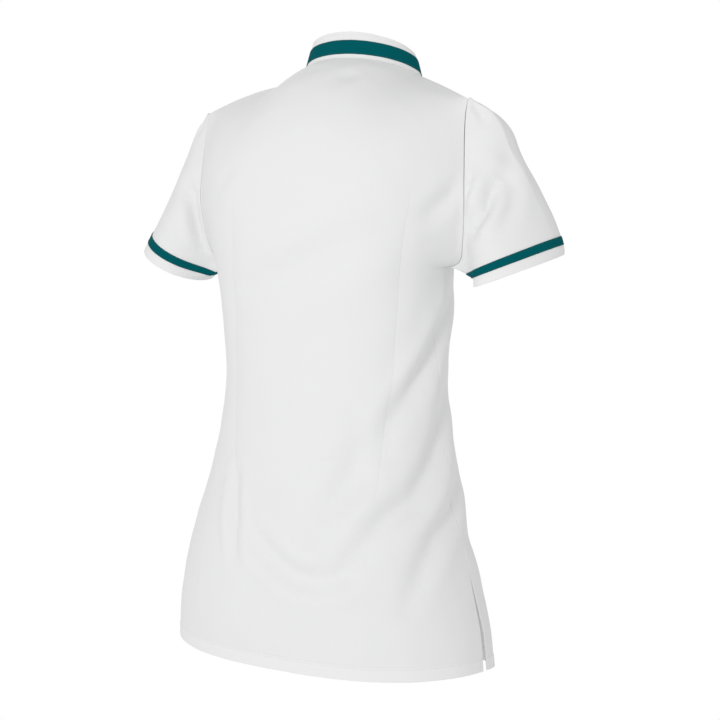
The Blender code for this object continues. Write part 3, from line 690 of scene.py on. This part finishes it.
# A body panel: its grid with relief, turned edges and a wall, spread open along the slits
def bodyPanel(name, node, grid, sides, folds, darts, seed, under=0.0):
    fromHem, run = lengthsAlong(grid, 0), lengthsAlong(grid, 1)
    fromTop = fromHem[-1] - fromHem
    fromColumn = {0: run, -1: run[:, -1:] - run}
    fromSide = np.minimum.reduce([fromColumn[column] for column in sides])
    z = grid[..., 2]
    below = (np.arange(len(grid)) <= rowsLower)[:, None]
    fromSlit = np.where((z < cut["slitTopZ"]) & below, fromSide, 1.0)
    relief, turnUp, fields = clothRelief(grid, run, fromHem, fromSlit, folds, darts, seed)
    relief = relief * np.where(below, 1.0, smoothStep(fromSide, 0.0, 0.02)) * smoothStep(fromTop, 0.0, 0.015)
    normal = reliefNormals(grid, sides)
    rim = np.minimum.reduce([fromHem, fromTop, *fromColumn.values()])
    wall = cut["cloth"] + (cut["hemCloth"] - cut["cloth"]) * turnUp
    atSeam = np.where((fromSide < 0.003) & (fromSlit == 1.0), seamDepth(z), 1.0)
    sewnEdge = np.minimum(np.where(fromSlit < 1, 1.0, fromSide), fromTop)
    relief = relief - edgeDrop(sewnEdge, sewn["seamRoll"]) * atSeam
    outer, inner = wallFaces(grid, normal, relief, wall, edgeDrop(rim, wall / 2) * atSeam)
    slitLow = ((cut["slitTopZ"] - z) / (cut["slitTopZ"] + cut["length"])).clip(0, 1)
    spread = -normal * np.asarray(under)[..., None]
    for column in sides:
        inward = grid[:, 6 if column == 0 else -7] - grid[:, column]
        inward /= np.linalg.norm(inward, axis=-1, keepdims=True)
        away = fromColumn[column]
        opening = slitLow[:, column] ** 0.8 * cut["slitWidth"] / 2 * below[:, 0]
        spread += inward[:, None] * (opening[:, None] * bell(away, 0.04))[..., None]
        face = np.sign(grid[rowsLower, grid.shape[1] // 2, 1])
        seamZ = np.where(below[:, 0], 0.0, grid[:, column, 2])[:, None]
        spread += valleyFill(seamZ, away, np.sign(grid[0, column, 0]), face)
    outer, inner = outer + spread, inner + spread
    bodyData[name] = {"outer": outer, "normal": normal, "fromHem": fromHem, "run": run, "sides": sides}
    clothPiece(name, node, outer, inner, False, np.stack([run, fromHem], axis=-1), fields, whiteCloth)


print("body")
bodyData = {}
# Rows and columns of the fine surfaces, in cells of the control grid: close together at edges and stitch lines
rowsAt = stretches((0, 0.07, 5), (0.07, 0.78, 7), (0.78, 1.06, 10), (1.06, 24, 128), (24, 35.80, 62),
                   (35.80, 36, 5))
rowsLower = int(np.searchsorted(rowsAt, cells["lower"], side="right")) - 1
half = cells["neck"] + cells["shoulder"]

leftBack, rightBack = halfFace(1, False), halfFace(-1, False)
backControls = evenOut(np.concatenate([rightBack[:, :0:-1], leftBack], axis=1), 1)
backColumns = stretches((0, 0.12, 5), (0.12, 1.2, 10), (1.2, 26.8, 170), (26.8, 27.88, 10), (27.88, 28, 5))
onRight, onLeft = half - backColumns[backColumns < half], backColumns[backColumns >= half] - half
backTop = np.concatenate([topLine(-1, False, onRight) * [-1, 1, 1], topLine(1, False, onLeft)])
backEdges = ((0, sideEdge(-1, False, rowsAt)), (-1, sideEdge(1, False, rowsAt)))
backGrid = fineFace(backControls, rowsAt, backColumns, backEdges, backTop)
frontColumns = stretches((0, 0.25, 5), (0.25, 14.8, 110), (14.8, 15.88, 10), (15.88, 16, 5))
frontGrids = {}
for name, side in (("Right", -1), ("Left", 1)):
    controls = evenOut(halfFace(side, True), 3 * cells["overlap"])
    top = topLine(side, True, frontColumns) * [side, 1, 1]
    frontGrids[name] = fineFace(controls, rowsAt, frontColumns, ((-1, sideEdge(side, True, rowsAt)),), top)
bodyPoints = np.concatenate([grid.reshape(-1, 3) for grid in (backGrid, *frontGrids.values())])
backFolds, frontFolds = laidOn(bodyPoints, backFolds), laidOn(bodyPoints, frontFolds)

bodyPanel("backPanel", "back", backGrid, (0, -1), backFolds, backDarts, seed=3)
for name, side in (("Right", -1), ("Left", 1)):
    grid, darts = frontGrids[name], (np.array(frontDart) * [1, side],)
    under = cut["underlapStep"] * smoothStep(0.045 - grid[..., 0], 0.0, 0.025) if side > 0 else 0.0
    bodyPanel("front" + name, "front_" + name.lower(), grid, (-1,), frontFolds, darts, seed=5 + side, under=under)

# Sleeves: a loft from the armhole to the hem, which is an ellipse that rises outwards
cuff = {
    "x": 0.2382, "y": -0.0213, "long": 0.0634, "short": 0.0414,
    "turn": math.radians(-76.2), "topAngle": math.radians(69.4),
    "lift": 0.004, "liftAngle": math.radians(-35), "headAt": 0.19, "headReach": 0.12,
    "tapeFrom": 0.0122, "tapeWidth": 0.0102,
    "swellPowers": (0.35, 0.6, 0.535), "swellWay": (0.84, -0.2, 0.5), "swellFrom": 0.16,
}
sleeves = {
    "Left": {"side": 1, "hemZ": -0.2454, "hemRise": 0.518, "hemBackRise": 0.0, "frontLift": 0.010,
             "headLift": 0.0},
    "Right": {"side": -1, "hemZ": -0.2560, "hemRise": 0.300, "hemBackRise": -0.170, "frontLift": 0.0150,
              "headLift": 0.0080},
}
sleeveFolds = {
    "Right": (
        (0.0125, 0.0100, 0.40, ((-0.224, 0.002, -0.150), (-0.218, 0.010, -0.169), (-0.210, 0.017, -0.188),
                                (-0.198, 0.015, -0.208))),
        (0.0024, 0.0070, 0.10, ((-0.191, 0.004, -0.115), (-0.192, 0.006, -0.145),
                                (-0.191, 0.006, -0.172))),
        (0.0042, 0.0100, 0.40, ((-0.228, -0.013, -0.118), (-0.233, -0.007, -0.148), (-0.237, 0.001, -0.177),
                                (-0.233, 0.021, -0.215))),
        (0.0024, 0.0055, 0.50, ((-0.184, -0.008, -0.064), (-0.192, -0.008, -0.074),
                                (-0.200, -0.008, -0.088))),
        (0.0010, 0.0045, 0.50, ((-0.183, 0.000, -0.076), (-0.190, 0.001, -0.088))),
        (0.0030, 0.0120, 0.30, ((-0.225, -0.070, -0.150), (-0.205, -0.085, -0.185),
                                (-0.185, -0.080, -0.215))),
    ),
    "Left": (
        (0.0058, 0.0090, 0.45, ((0.207, 0.008, -0.147), (0.195, 0.011, -0.169), (0.188, 0.007, -0.195),
                                (0.183, 0.002, -0.222))),
        (0.0014, 0.0050, 0.40, ((0.202, 0.012, -0.150), (0.190, 0.010, -0.160), (0.184, 0.008, -0.166))),
        (0.0016, 0.0050, 0.50, ((0.184, -0.008, -0.064), (0.192, -0.008, -0.074), (0.200, -0.008, -0.088))),
        (0.0030, 0.0120, 0.30, ((0.225, -0.070, -0.150), (0.205, -0.085, -0.185), (0.185, -0.080, -0.215))),
    ),
}


# Ruled from each armhole point to its hem point, with a lift that swells the head
def sleeveSurface(settings, around, fromHem, tCount):
    side = settings["side"]
    share = (around / math.pi).clip(0, 1)
    back = smoothPath(armholeBack, 1 - share)
    front = smoothPath(armholeFront, (around / math.pi - 1).clip(0, 1))
    start = np.where((around < math.pi)[:, None], back, front)
    angle = cuff["topAngle"] + around
    longWay, shortWay = cuff["long"] * np.cos(angle), cuff["short"] * np.sin(angle)
    outward = longWay * math.cos(cuff["turn"]) - shortWay * math.sin(cuff["turn"])
    backward = longWay * math.sin(cuff["turn"]) + shortWay * math.cos(cuff["turn"])
    height = settings["hemZ"] + settings["hemRise"] * outward + settings["hemBackRise"] * backward
    end = np.stack([cuff["x"] + outward, cuff["y"] + backward, height], axis=-1)
    reach = np.linalg.norm(end - start, axis=-1)
    nearHem = 1 - fromHem[:, None] / reach
    t = np.vstack([tCount[:-1, None] * nearHem[0], nearHem])[..., None]
    toFront = np.cos(around - cuff["liftAngle"]).clip(0)[:, None] ** 2
    down, up, reached = cuff["swellPowers"]
    swell = (cuff["lift"] + settings["frontLift"] * toFront) * t**down * (1 - t) ** up / reached
    swell = swell * (toFront + (1 - toFront) * smoothStep(t, 0, cuff["swellFrom"]))
    raised = smoothStep(t, 0, 0.06) * bell(t - cuff["headAt"], cuff["headReach"])
    swell = swell + settings["headLift"] * toFront * raised
    grid = start + (end - start) * t + swell * np.array(cuff["swellWay"])
    grid[..., 0] *= side
    return grid


print("sleeves")
sleeveAround = np.linspace(0, 2 * math.pi, 240, endpoint=False)
tapeTop = cuff["tapeFrom"] + cuff["tapeWidth"]
nearHem = np.concatenate([np.linspace(0.034, 0.002, 40), [0.0013, 0.0008, 0.0004, 0.0001, 0.0]])
tHead = np.concatenate([[0, 0.002, 0.005, 0.010, 0.018], np.linspace(0.028, 1, 62)])
sleeveData = {}
for name, settings in sleeves.items():
    grid = sleeveSurface(settings, sleeveAround, nearHem, tHead)
    normal = gridNormals(grid, closed=True)
    along = lengthsAlong(grid, 0)
    fromEdge = along[-1] - along
    relief = unevenness(grid, 11 + settings["side"], 0.0002, 0.02, 0.06)
    relief = relief - foldDepth(grid, laidOn(grid.reshape(-1, 3), sleeveFolds[name]))
    relief = relief * smoothStep(fromEdge, 0.015, 0.05) * smoothStep(along, 0.0, 0.012)
    turnUp = turnedShare(fromEdge, cut["cuffDepth"])
    ripple = 1 + 0.4 * np.sin(sleeveAround * 34 + 2 * np.sin(sleeveAround * 9))[None]
    relief += 0.0003 * turnUp - 0.00035 * ripple * bell(fromEdge - cut["cuffDepth"], 0.0013)
    relief += 0.0004 * bell(along - 0.004, 0.003) * seamDepth(grid[..., 2])
    wall = cut["cloth"] + (cut["hemCloth"] - cut["cloth"]) * turnUp
    atSeam = np.where(along < 0.003, seamDepth(grid[..., 2]), 1.0)
    drop = edgeDrop(np.minimum(along, fromEdge), wall / 2) * atSeam
    outer, inner = wallFaces(grid, normal, relief - edgeDrop(along, sewn["seamRoll"]) * atSeam, wall, drop)
    fill = valleyFill(grid[:1, :, 2], along, settings["side"], np.where(sleeveAround < math.pi, 1.0, -1.0))
    outer, inner = outer + fill, inner + fill
    ring = np.linalg.norm(np.diff(grid[-1], axis=0), axis=-1)
    uv = np.stack(np.broadcast_arrays(sleeveAround / (2 * math.pi) * ring.sum(), fromEdge), axis=-1)
    clothPiece("sleeve" + name, "sleeve_" + name.lower(), outer, inner, True, uv, {"doubled": turnUp}, whiteCloth)
    sleeveData[name] = (outer, normal, fromEdge)

# Collar: a stand band that leans inwards over the neck seam
collar = {
    "height": 0.0335, "frontHeight": 0.0255, "lean": 0.26, "frontGap": 0.006, "gap": 0.0002,
    "tapeFrom": 0.0050, "tapeWidth": 0.0175, "wall": 0.0022, "tapeWall": 0.0008,
    "stitchFromTop": 0.0035, "stitchFromSeam": 0.0016,
}
print("collar")
leftEnd = math.pi - math.asin((collar["frontGap"] / 2 - neck["x"]) / neck["halfWidth"])
rightEnd = -math.pi + math.asin((collar["frontGap"] / 2 + neck["x"]) / neck["halfWidth"])
collarAngles = stretches((rightEnd, rightEnd + 0.02, 5), (rightEnd + 0.02, leftEnd - 0.02, 260),
                         (leftEnd - 0.02, leftEnd, 5))
base = neckPoint(collarAngles, 1, None)
toFront = (1 - np.cos(collarAngles)) / 2
collarHeight = collar["height"] + (collar["frontHeight"] - collar["height"]) * toFront
radial = np.stack([np.sin(collarAngles), np.cos(collarAngles), np.zeros(len(collarAngles))], axis=-1)
upward = np.array([0.0, 0.0, 1.0]) - collar["lean"] * radial
upward /= np.linalg.norm(upward, axis=-1, keepdims=True)
collarShare = stretches((0, 0.03, 4), (0.03, 0.96, 44), (0.96, 1, 6))
collarRise = collarShare[:, None] * collarHeight
collarGrid = base + np.array([0.0, 0.0, collar["gap"]]) + collarRise[..., None] * upward
collarNormal = gridNormals(collarGrid)
fromTop = collarHeight - collarRise
collarRun = lengthsAlong(collarGrid, 1)
collarEnds = np.minimum(collarRun, collarRun[:, -1:] - collarRun)
wave = unevenness(collarGrid, 21, 0.00025, 0.02, 0.06) * smoothStep(collarRise, 0, 0.01)
stitchGroove = 0.00022 * bell(fromTop - collar["stitchFromTop"], 0.0007)
drop = edgeDrop(np.minimum.reduce([collarRise, fromTop, collarEnds]), collar["wall"] / 2)
collarOuter, collarInner = wallFaces(collarGrid, collarNormal, wave - stitchGroove, collar["wall"], drop)
uv = np.stack([collarRun, collarRise], axis=-1)
clothPiece("standCollar", "collar", collarOuter, collarInner, False, uv, {"doubled": np.ones(collarRise.shape)},
           whiteCloth)


# Points and normals of a surface at the wanted heights above its edge, for each of its columns
def atHeights(surface, normals, heights, wanted):
    if heights[0, 0] > heights[-1, 0]:
        surface, normals, heights = surface[::-1], normals[::-1], heights[::-1]
    column = np.arange(surface.shape[1])[None]
    k = (heights[None] < wanted[:, None, None]).sum(axis=1).clip(1, len(heights) - 1)
    a, b = heights[k - 1, column], heights[k, column]
    t = ((wanted[:, None] - a) / (b - a).clip(1e-9))[..., None]
    points = surface[k - 1, column] * (1 - t) + surface[k, column] * t
    outward = normals[k - 1, column] * (1 - t) + normals[k, column] * t
    return points, outward / np.linalg.norm(outward, axis=-1, keepdims=True)


# Sewing: short rounded stitches along a line, whose ends dive into the cloth
stitch = {"long": 0.0023, "gap": 0.0007, "radius": 0.00022, "inset": 0.0013}


# Tape laid on a band of cloth: the cloth's own points between two heights, moved out, with rounded edges
def tapePiece(name, surface, normals, heights, low, width, wall, closed, node):
    share = np.array([0, 0.02, 0.05, 0.1, 0.2, 0.35, 0.5, 0.65, 0.8, 0.9, 0.95, 0.98, 1])
    wanted = low + share * width
    points, outward = atHeights(surface, normals, heights, wanted)
    edge = np.minimum(share, 1 - share)[:, None] * width
    run = lengthsAlong(points, 1)
    if not closed:
        edge = np.minimum(edge, np.minimum(run, run[:, -1:] - run))
    stitchDip = 0.00025 * bell(edge - stitch["inset"], 0.0005)
    outer = points + outward * (0.00012 + wall - edgeDrop(edge, wall * 0.6) - stitchDip)[..., None]
    inner = points + outward * 0.00008
    uv = np.stack(np.broadcast_arrays(run, wanted[:, None]), axis=-1)
    clothPiece(name, node, outer, inner, closed, uv, {}, tealTape)
    return {"outer": outer, "normal": outward, "height": wanted - low}


collarTape = tapePiece(
    "collarTape", collarOuter, collarNormal, collarRise, collar["tapeFrom"], collar["tapeWidth"],
    collar["tapeWall"], False, "collar_band")
sleeveTapes = {}
for name, cloth in sleeveData.items():
    sleeveTapes[name] = tapePiece("sleeveTape" + name, *cloth, cuff["tapeFrom"], cuff["tapeWidth"],
                                  collar["tapeWall"], True, "sleeve_band_" + name.lower())

# Each stitch is five rings of six points: half its length times u along the line, its radius around it
def stitchRow(name, lines, material, settings=stitch):
    allPoints, count = [], 0
    for points, normals, closed in lines:
        if closed:
            points, normals = np.vstack([points, points[:1]]), np.vstack([normals, normals[:1]])
        run = np.concatenate([[0], np.cumsum(np.linalg.norm(np.diff(points, axis=0), axis=1))])
        number = max(1, int(run[-1] / (settings["long"] + settings["gap"])))
        centre = (np.arange(number) + 0.5) * run[-1] / number
        u = np.array([-1, -0.62, 0, 0.62, 1])
        at = centre[:, None] + u * settings["long"] / 2
        line = np.stack([np.interp(at, run, points[:, k]) for k in range(3)], axis=-1)
        out = np.stack([np.interp(at, run, normals[:, k]) for k in range(3)], axis=-1)
        along = line[:, -1:] - line[:, :1]
        along /= np.linalg.norm(along, axis=-1, keepdims=True).clip(1e-9)
        beside = np.cross(np.broadcast_to(along, out.shape), out)
        beside /= np.linalg.norm(beside, axis=-1, keepdims=True)
        turn = np.arange(6) * math.pi / 3
        size = settings["radius"] * np.array([0.45, 0.9, 1, 0.9, 0.45])[None, :, None, None]
        lift = settings["radius"] * (0.75 - 1.1 * u**2)[None, :, None, None]
        ring = np.cos(turn)[:, None] * beside[:, :, None] + np.sin(turn)[:, None] * out[:, :, None]
        allPoints.append((line[:, :, None] + out[:, :, None] * lift + ring * size).reshape(-1, 3))
        count += number
    points = np.concatenate(allPoints)
    ring = np.arange(6)
    beside = (ring + 1) % 6
    quads = np.stack([ring, beside, beside + 6, ring + 6], axis=-1)
    quads = np.concatenate([quads + 6 * r for r in range(4)])
    caps = np.array([[5, 4, 3, 2, 1, 0], [24, 25, 26, 27, 28, 29]])
    start = 30 * np.arange(count)[:, None, None]
    mesh = bpy.data.meshes.new(name)
    faces = (quads + start).reshape(-1, 4).tolist() + (caps + start).reshape(-1, 6).tolist()
    mesh.from_pydata(points, [], faces)
    return finishPiece(name, mesh, material)


# One line of a surface at a height above its edge, ready for stitches
def seamLine(surface, normals, heights, height, closed=False):
    points, outward = atHeights(surface, normals, heights, np.array([height]))
    return points[0], outward[0], closed


print("stitches")
for name, data in bodyData.items():
    lines = [seamLine(data["outer"], data["normal"], data["fromHem"], cut["hemDepth"] - stitch["inset"])]
    low = data["outer"][:, 0, 2] < cut["slitTopZ"] + 0.004
    low &= np.arange(len(low)) <= rowsLower
    turned = [data["outer"].transpose(1, 0, 2), data["normal"].transpose(1, 0, 2), data["run"].T]
    if 0 in data["sides"]:
        slitLine = seamLine(*turned, cut["slitHem"] - stitch["inset"])
        lines.append((slitLine[0][low], slitLine[1][low], False))
    else:
        for height in (0.0040, 0.0300):     # both edges of the front band
            lines.append(seamLine(*turned, height))
    width = data["run"].T[-1]
    slitLine = seamLine(turned[0], turned[1], width - data["run"].T, cut["slitHem"] - stitch["inset"])
    low = (data["outer"][:, -1, 2] < cut["slitTopZ"] + 0.004) & (np.arange(len(low)) <= rowsLower)
    lines.append((slitLine[0][low], slitLine[1][low], False))
    stitchRow(name + "Stitches", lines, whiteThread)
lines = [seamLine(collarOuter, collarNormal, fromTop, collar["stitchFromTop"]),
         seamLine(collarOuter, collarNormal, collarRise, collar["stitchFromSeam"])]
stitchRow("collarStitches", lines, whiteThread)
taped = {"collar": collarTape, "sleeveLeft": sleeveTapes["Left"], "sleeveRight": sleeveTapes["Right"]}
for name, tape in taped.items():
    heights = np.repeat(tape["height"][:, None], tape["outer"].shape[1], axis=1)
    lines = [seamLine(tape["outer"], tape["normal"], heights, height, name != "collar")
             for height in (stitch["inset"], tape["height"][-1] - stitch["inset"])]
    stitchRow(name + "TapeStitches", lines, tealThread)

# Bar tacks across the tops of the side slits
tack = {"half": 0.0045, "long": 0.0011, "gap": -0.0002, "radius": 0.0003}
tackLines = []
for side, column in ((-1, 0), (1, -1)):
    front = bodyData["frontRight" if side < 0 else "frontLeft"]
    back = bodyData["backPanel"]
    row = int(np.abs(back["outer"][:rowsLower, column, 2] - cut["slitTopZ"]).argmin())
    inBack = np.abs(back["run"][row] - back["run"][row, column]) < tack["half"]
    inFront = front["run"][row, -1] - front["run"][row] < tack["half"]
    points = [back["outer"][row, inBack], front["outer"][row, inFront]]
    outward = [back["normal"][row, inBack], front["normal"][row, inFront]]
    if side < 0:
        points, outward = [points[0][::-1], points[1][::-1]], [outward[0][::-1], outward[1][::-1]]
    tackLines.append((np.vstack(points), np.vstack(outward), False))
stitchRow("slitTacks", tackLines, whiteThread, tack)

# Buttons: a turned disc with a raised rim and four wells, crossed by two bars of thread
button = {
    "radius": 0.0075, "thick": 0.0026, "rim": 0.0016,
    "well": 0.00072, "wellDepth": 0.0017, "wellAway": 0.00155,
    "rings": 44, "steps": 72, "thread": 0.00036,
}
buttonhole = {"half": 0.0088, "width": 0.0011, "long": 0.0017, "gap": -0.0011, "radius": 0.00020}


# Height of the button's face over its back: a dished middle, a rounded rim and four round wells
def buttonFace(x, y):
    r = np.hypot(x, y)
    inRim = smoothStep(r, button["radius"] - 2 * button["rim"], button["radius"] - 0.8 * button["rim"])
    face = button["thick"] - 0.0007 * (1 - inRim)
    for a in (1, -1):
        for b in (1, -1):
            away = np.hypot(x - a * button["wellAway"], y - b * button["wellAway"])
            inWell = smoothStep(away, button["well"] + 0.0001, button["well"] - 0.0001)
            face = face - button["wellDepth"] * inWell
    return face - edgeDrop(button["radius"] - r, 0.0009)


# One button seated on the right front at its node, with its thread; returns the outline of its buttonhole
def buttonPiece(name, node):
    low, high = np.array(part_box(node))
    centre = (low + high) / 2
    spin = np.linspace(0, 2 * math.pi, button["steps"], endpoint=False)
    r = button["radius"] * np.sin(np.linspace(0, math.pi / 2, button["rings"]))[1:]
    x, y = r[:, None] * np.cos(spin), r[:, None] * np.sin(spin)
    front = np.stack([x, y, buttonFace(x, y)], axis=-1).reshape(-1, 3)
    back = np.stack([x[-1] * 0.93, y[-1] * 0.93, np.zeros(len(spin))], axis=-1)
    points = np.vstack([front, back, [[0, 0, float(buttonFace(0, 0))]], [[0, 0, 0]]])
    index = np.arange(len(front) + len(back)).reshape(-1, len(spin))
    beside = np.roll(index, -1, axis=1)
    faces = np.stack([index[:-1], beside[:-1], beside[1:], index[1:]], axis=-1).reshape(-1, 4).tolist()
    faces += [[len(points) - 2, a, b] for a, b in zip(index[0], beside[0])]
    faces += [[len(points) - 1, b, a] for a, b in zip(index[-1], beside[-1])]
    data = bodyData["frontRight"]
    k = np.unravel_index(np.linalg.norm(data["outer"] - centre, axis=-1).argmin(), data["run"].shape)
    out = data["normal"][k]
    across = np.cross([0.0, 0.0, 1.0], out)
    across /= np.linalg.norm(across)
    axes = np.stack([across, np.cross(out, across), out])
    seat = centre - out * (((centre - data["outer"][k]) * out).sum() - 0.0003)
    mesh = bpy.data.meshes.new(name)
    mesh.from_pydata(points @ axes + seat, [], faces)
    piece = finishPiece(name, mesh, buttonPlastic)
    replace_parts(piece, node)
    bars = []
    for a in (1, -1):
        path = np.array([[a * button["wellAway"], b * button["wellAway"], button["thick"] - 0.0007]
                         for b in (-1, 1)])
        bars.append((path @ axes + seat, np.repeat(out[None], 2, axis=0), False))
    stem = {"long": 2 * button["wellAway"] + 0.0006, "gap": 0.0, "radius": button["thread"]}
    stitchRow(name + "Thread", bars, whiteThread, stem)
    around = np.linspace(0, 2 * math.pi, 60, endpoint=False)
    oval = np.stack([buttonhole["width"] * np.cos(around), buttonhole["half"] * np.sin(around), 0 * around],
                    axis=-1)
    place = oval @ axes + seat
    near = np.linalg.norm(data["outer"][k[0] - 12:k[0] + 12][None] - place[:, None, None], axis=-1)
    near = near.reshape(len(place), -1).argmin(axis=1)
    outward = data["normal"][k[0] - 12:k[0] + 12].reshape(-1, 3)[near]
    surface = data["outer"][k[0] - 12:k[0] + 12].reshape(-1, 3)[near]
    place = place + outward * ((surface - place) * outward).sum(axis=1)[:, None]
    return place, outward, True


print("buttons")
holes = [buttonPiece(f"button{number}", f"button_{number}") for number in range(1, 8)]
stitchRow("buttonholes", holes, whiteThread, buttonhole)

# The flat cut of each cloth piece that shows: width and length of the blank, and the area cut from it
flatCuts = {
    "backPanel": (0.55, 0.80, 0.334), "frontRight": (0.276, 0.75, 0.158), "frontLeft": (0.276, 0.73, 0.157),
    "sleeveLeft": (0.37, 0.20, 0.042), "sleeveRight": (0.372, 0.22, 0.046),
    "standCollar": (0.443, 0.035, 0.0124), "collarTape": (0.443, 0.018, 0.0074),
    "sleeveTapeLeft": (0.358, 0.0109, 0.0038), "sleeveTapeRight": (0.356, 0.0109, 0.0037),
}
for name, (width, length, area) in flatCuts.items():
    held, carrier = ("stretched", name.replace("Tape", "")) if "Tape" in name else ("hung", None)
    carrier = "standCollar" if name == "collarTape" else carrier

# Camera, light and floor
view = {
    "place": (-1.0355, 1.6992, -0.2566), "forward": (0.5043, -0.8619, -0.0535), "lens": 82.84,
    "floorZ": -1.42, "backdropRadius": 9.0, "domeSteps": 96, "domeRings": 12,
}
light = {
    "ambient": 0.905, "overhead": 0.52, "below": 0.71, "target": (0, 0.05, -0.35),
    "keyPlace": (-0.40, 2.92, 0.50), "keySize": 0.8, "keyPower": 25,
    "fillPlace": (1.9, -2.5, 0.9), "fillSize": 1.2, "fillPower": 20,
}


# The photo's fitted camera, upright: right is forward crossed with the vertical
def placeCamera():
    camera = bpy.data.objects.new("camera", bpy.data.cameras.new("camera"))
    bpy.context.scene.collection.objects.link(camera)
    camera.data.lens = view["lens"]
    camera.data.sensor_width = 36
    camera.data.clip_end = 50
    camera.location = view["place"]
    forward = Vector(view["forward"]).normalized()
    right = forward.cross(Vector((0, 0, 1))).normalized()
    up = right.cross(forward)
    camera.rotation_euler = Matrix((right, up, -forward)).transposed().to_euler()
    bpy.context.scene.camera = camera


# A round lamp that faces its target
def areaLight(name, place, target, size, power):
    lamp = bpy.data.objects.new(name, bpy.data.lights.new(name, "AREA"))
    bpy.context.scene.collection.objects.link(lamp)
    lamp.data.shape = "DISK"
    lamp.data.size = size
    lamp.data.energy = power
    lamp.location = place
    lamp.rotation_euler = (Vector(target) - Vector(place)).to_track_quat("-Z", "Y").to_euler()


# A white stage sheet that only the camera sees
def stageSheet(name, points, faces):
    mesh = bpy.data.meshes.new(name)
    mesh.from_pydata(points, [], faces)
    sheet = bpy.data.objects.new(name, mesh)
    bpy.context.scene.collection.objects.link(sheet)
    n = Nodes(name)
    n.shader.inputs["Base Color"].default_value = (0, 0, 0, 1)
    n.shader.inputs["Specular IOR Level"].default_value = 0.0
    n.shader.inputs["Emission Color"].default_value = (1, 1, 1, 1)
    n.shader.inputs["Emission Strength"].default_value = 1.0
    mesh.materials.append(n.material)
    sheet.visible_diffuse = sheet.visible_glossy = sheet.visible_shadow = False


# Even light from all round, graded from below to above, two lamps, and a white floor and dome
def studio():
    world = bpy.data.worlds.new("studio")
    bpy.context.scene.world = world
    world.use_nodes = True
    tree = world.node_tree
    way = tree.nodes.new("ShaderNodeSeparateXYZ")
    tree.links.new(tree.nodes.new("ShaderNodeTexCoord").outputs["Generated"], way.inputs[0])
    tree.nodes["Background"].inputs[0].default_value = (1, 1, 1, 1)
    total = tree.nodes.new("ShaderNodeMath")
    for k, (end, low, high) in enumerate(((1, light["ambient"], light["overhead"]),
                                          (-1, 0, light["below"] - light["ambient"]))):
        ramp = tree.nodes.new("ShaderNodeMapRange")
        ramp.inputs[2].default_value = end
        ramp.inputs[3].default_value, ramp.inputs[4].default_value = low, high
        tree.links.new(way.outputs[2], ramp.inputs[0])
        tree.links.new(ramp.outputs[0], total.inputs[k])
    tree.links.new(total.outputs[0], tree.nodes["Background"].inputs[1])
    areaLight("key", light["keyPlace"], light["target"], light["keySize"], light["keyPower"])
    areaLight("fill", light["fillPlace"], light["target"], light["fillSize"], light["fillPower"])
    steps, rings, radius = view["domeSteps"], view["domeRings"], view["backdropRadius"]
    turn = np.linspace(0, 2 * math.pi, steps, endpoint=False)
    ring = np.stack([np.cos(turn), np.sin(turn), np.zeros(steps)], axis=-1)
    ground = ring * radius + [0, 0, view["floorZ"]]
    stageSheet("paleFloor", ground.tolist(), [list(range(steps))])
    tilt = np.linspace(0, math.pi / 2, rings + 1)[:-1]
    dome = [ring * radius * math.cos(a) + [0, 0, view["floorZ"] + radius * math.sin(a)] for a in tilt]
    points = np.concatenate(dome + [[[0, 0, view["floorZ"] + radius]]])
    index = np.arange(rings * steps).reshape(rings, steps)
    beside = np.roll(index, -1, axis=1)
    faces = np.stack([index[:-1], beside[:-1], beside[1:], index[1:]], axis=-1).reshape(-1, 4).tolist()
    faces += [[a, b, len(points) - 1] for a, b in zip(index[-1], beside[-1])]
    stageSheet("paleBackdrop", points.tolist(), faces)
    scene = bpy.context.scene
    scene.view_settings.view_transform = "Standard"
    scene.view_settings.look = "None"


print("camera and light")
placeCamera()
studio()
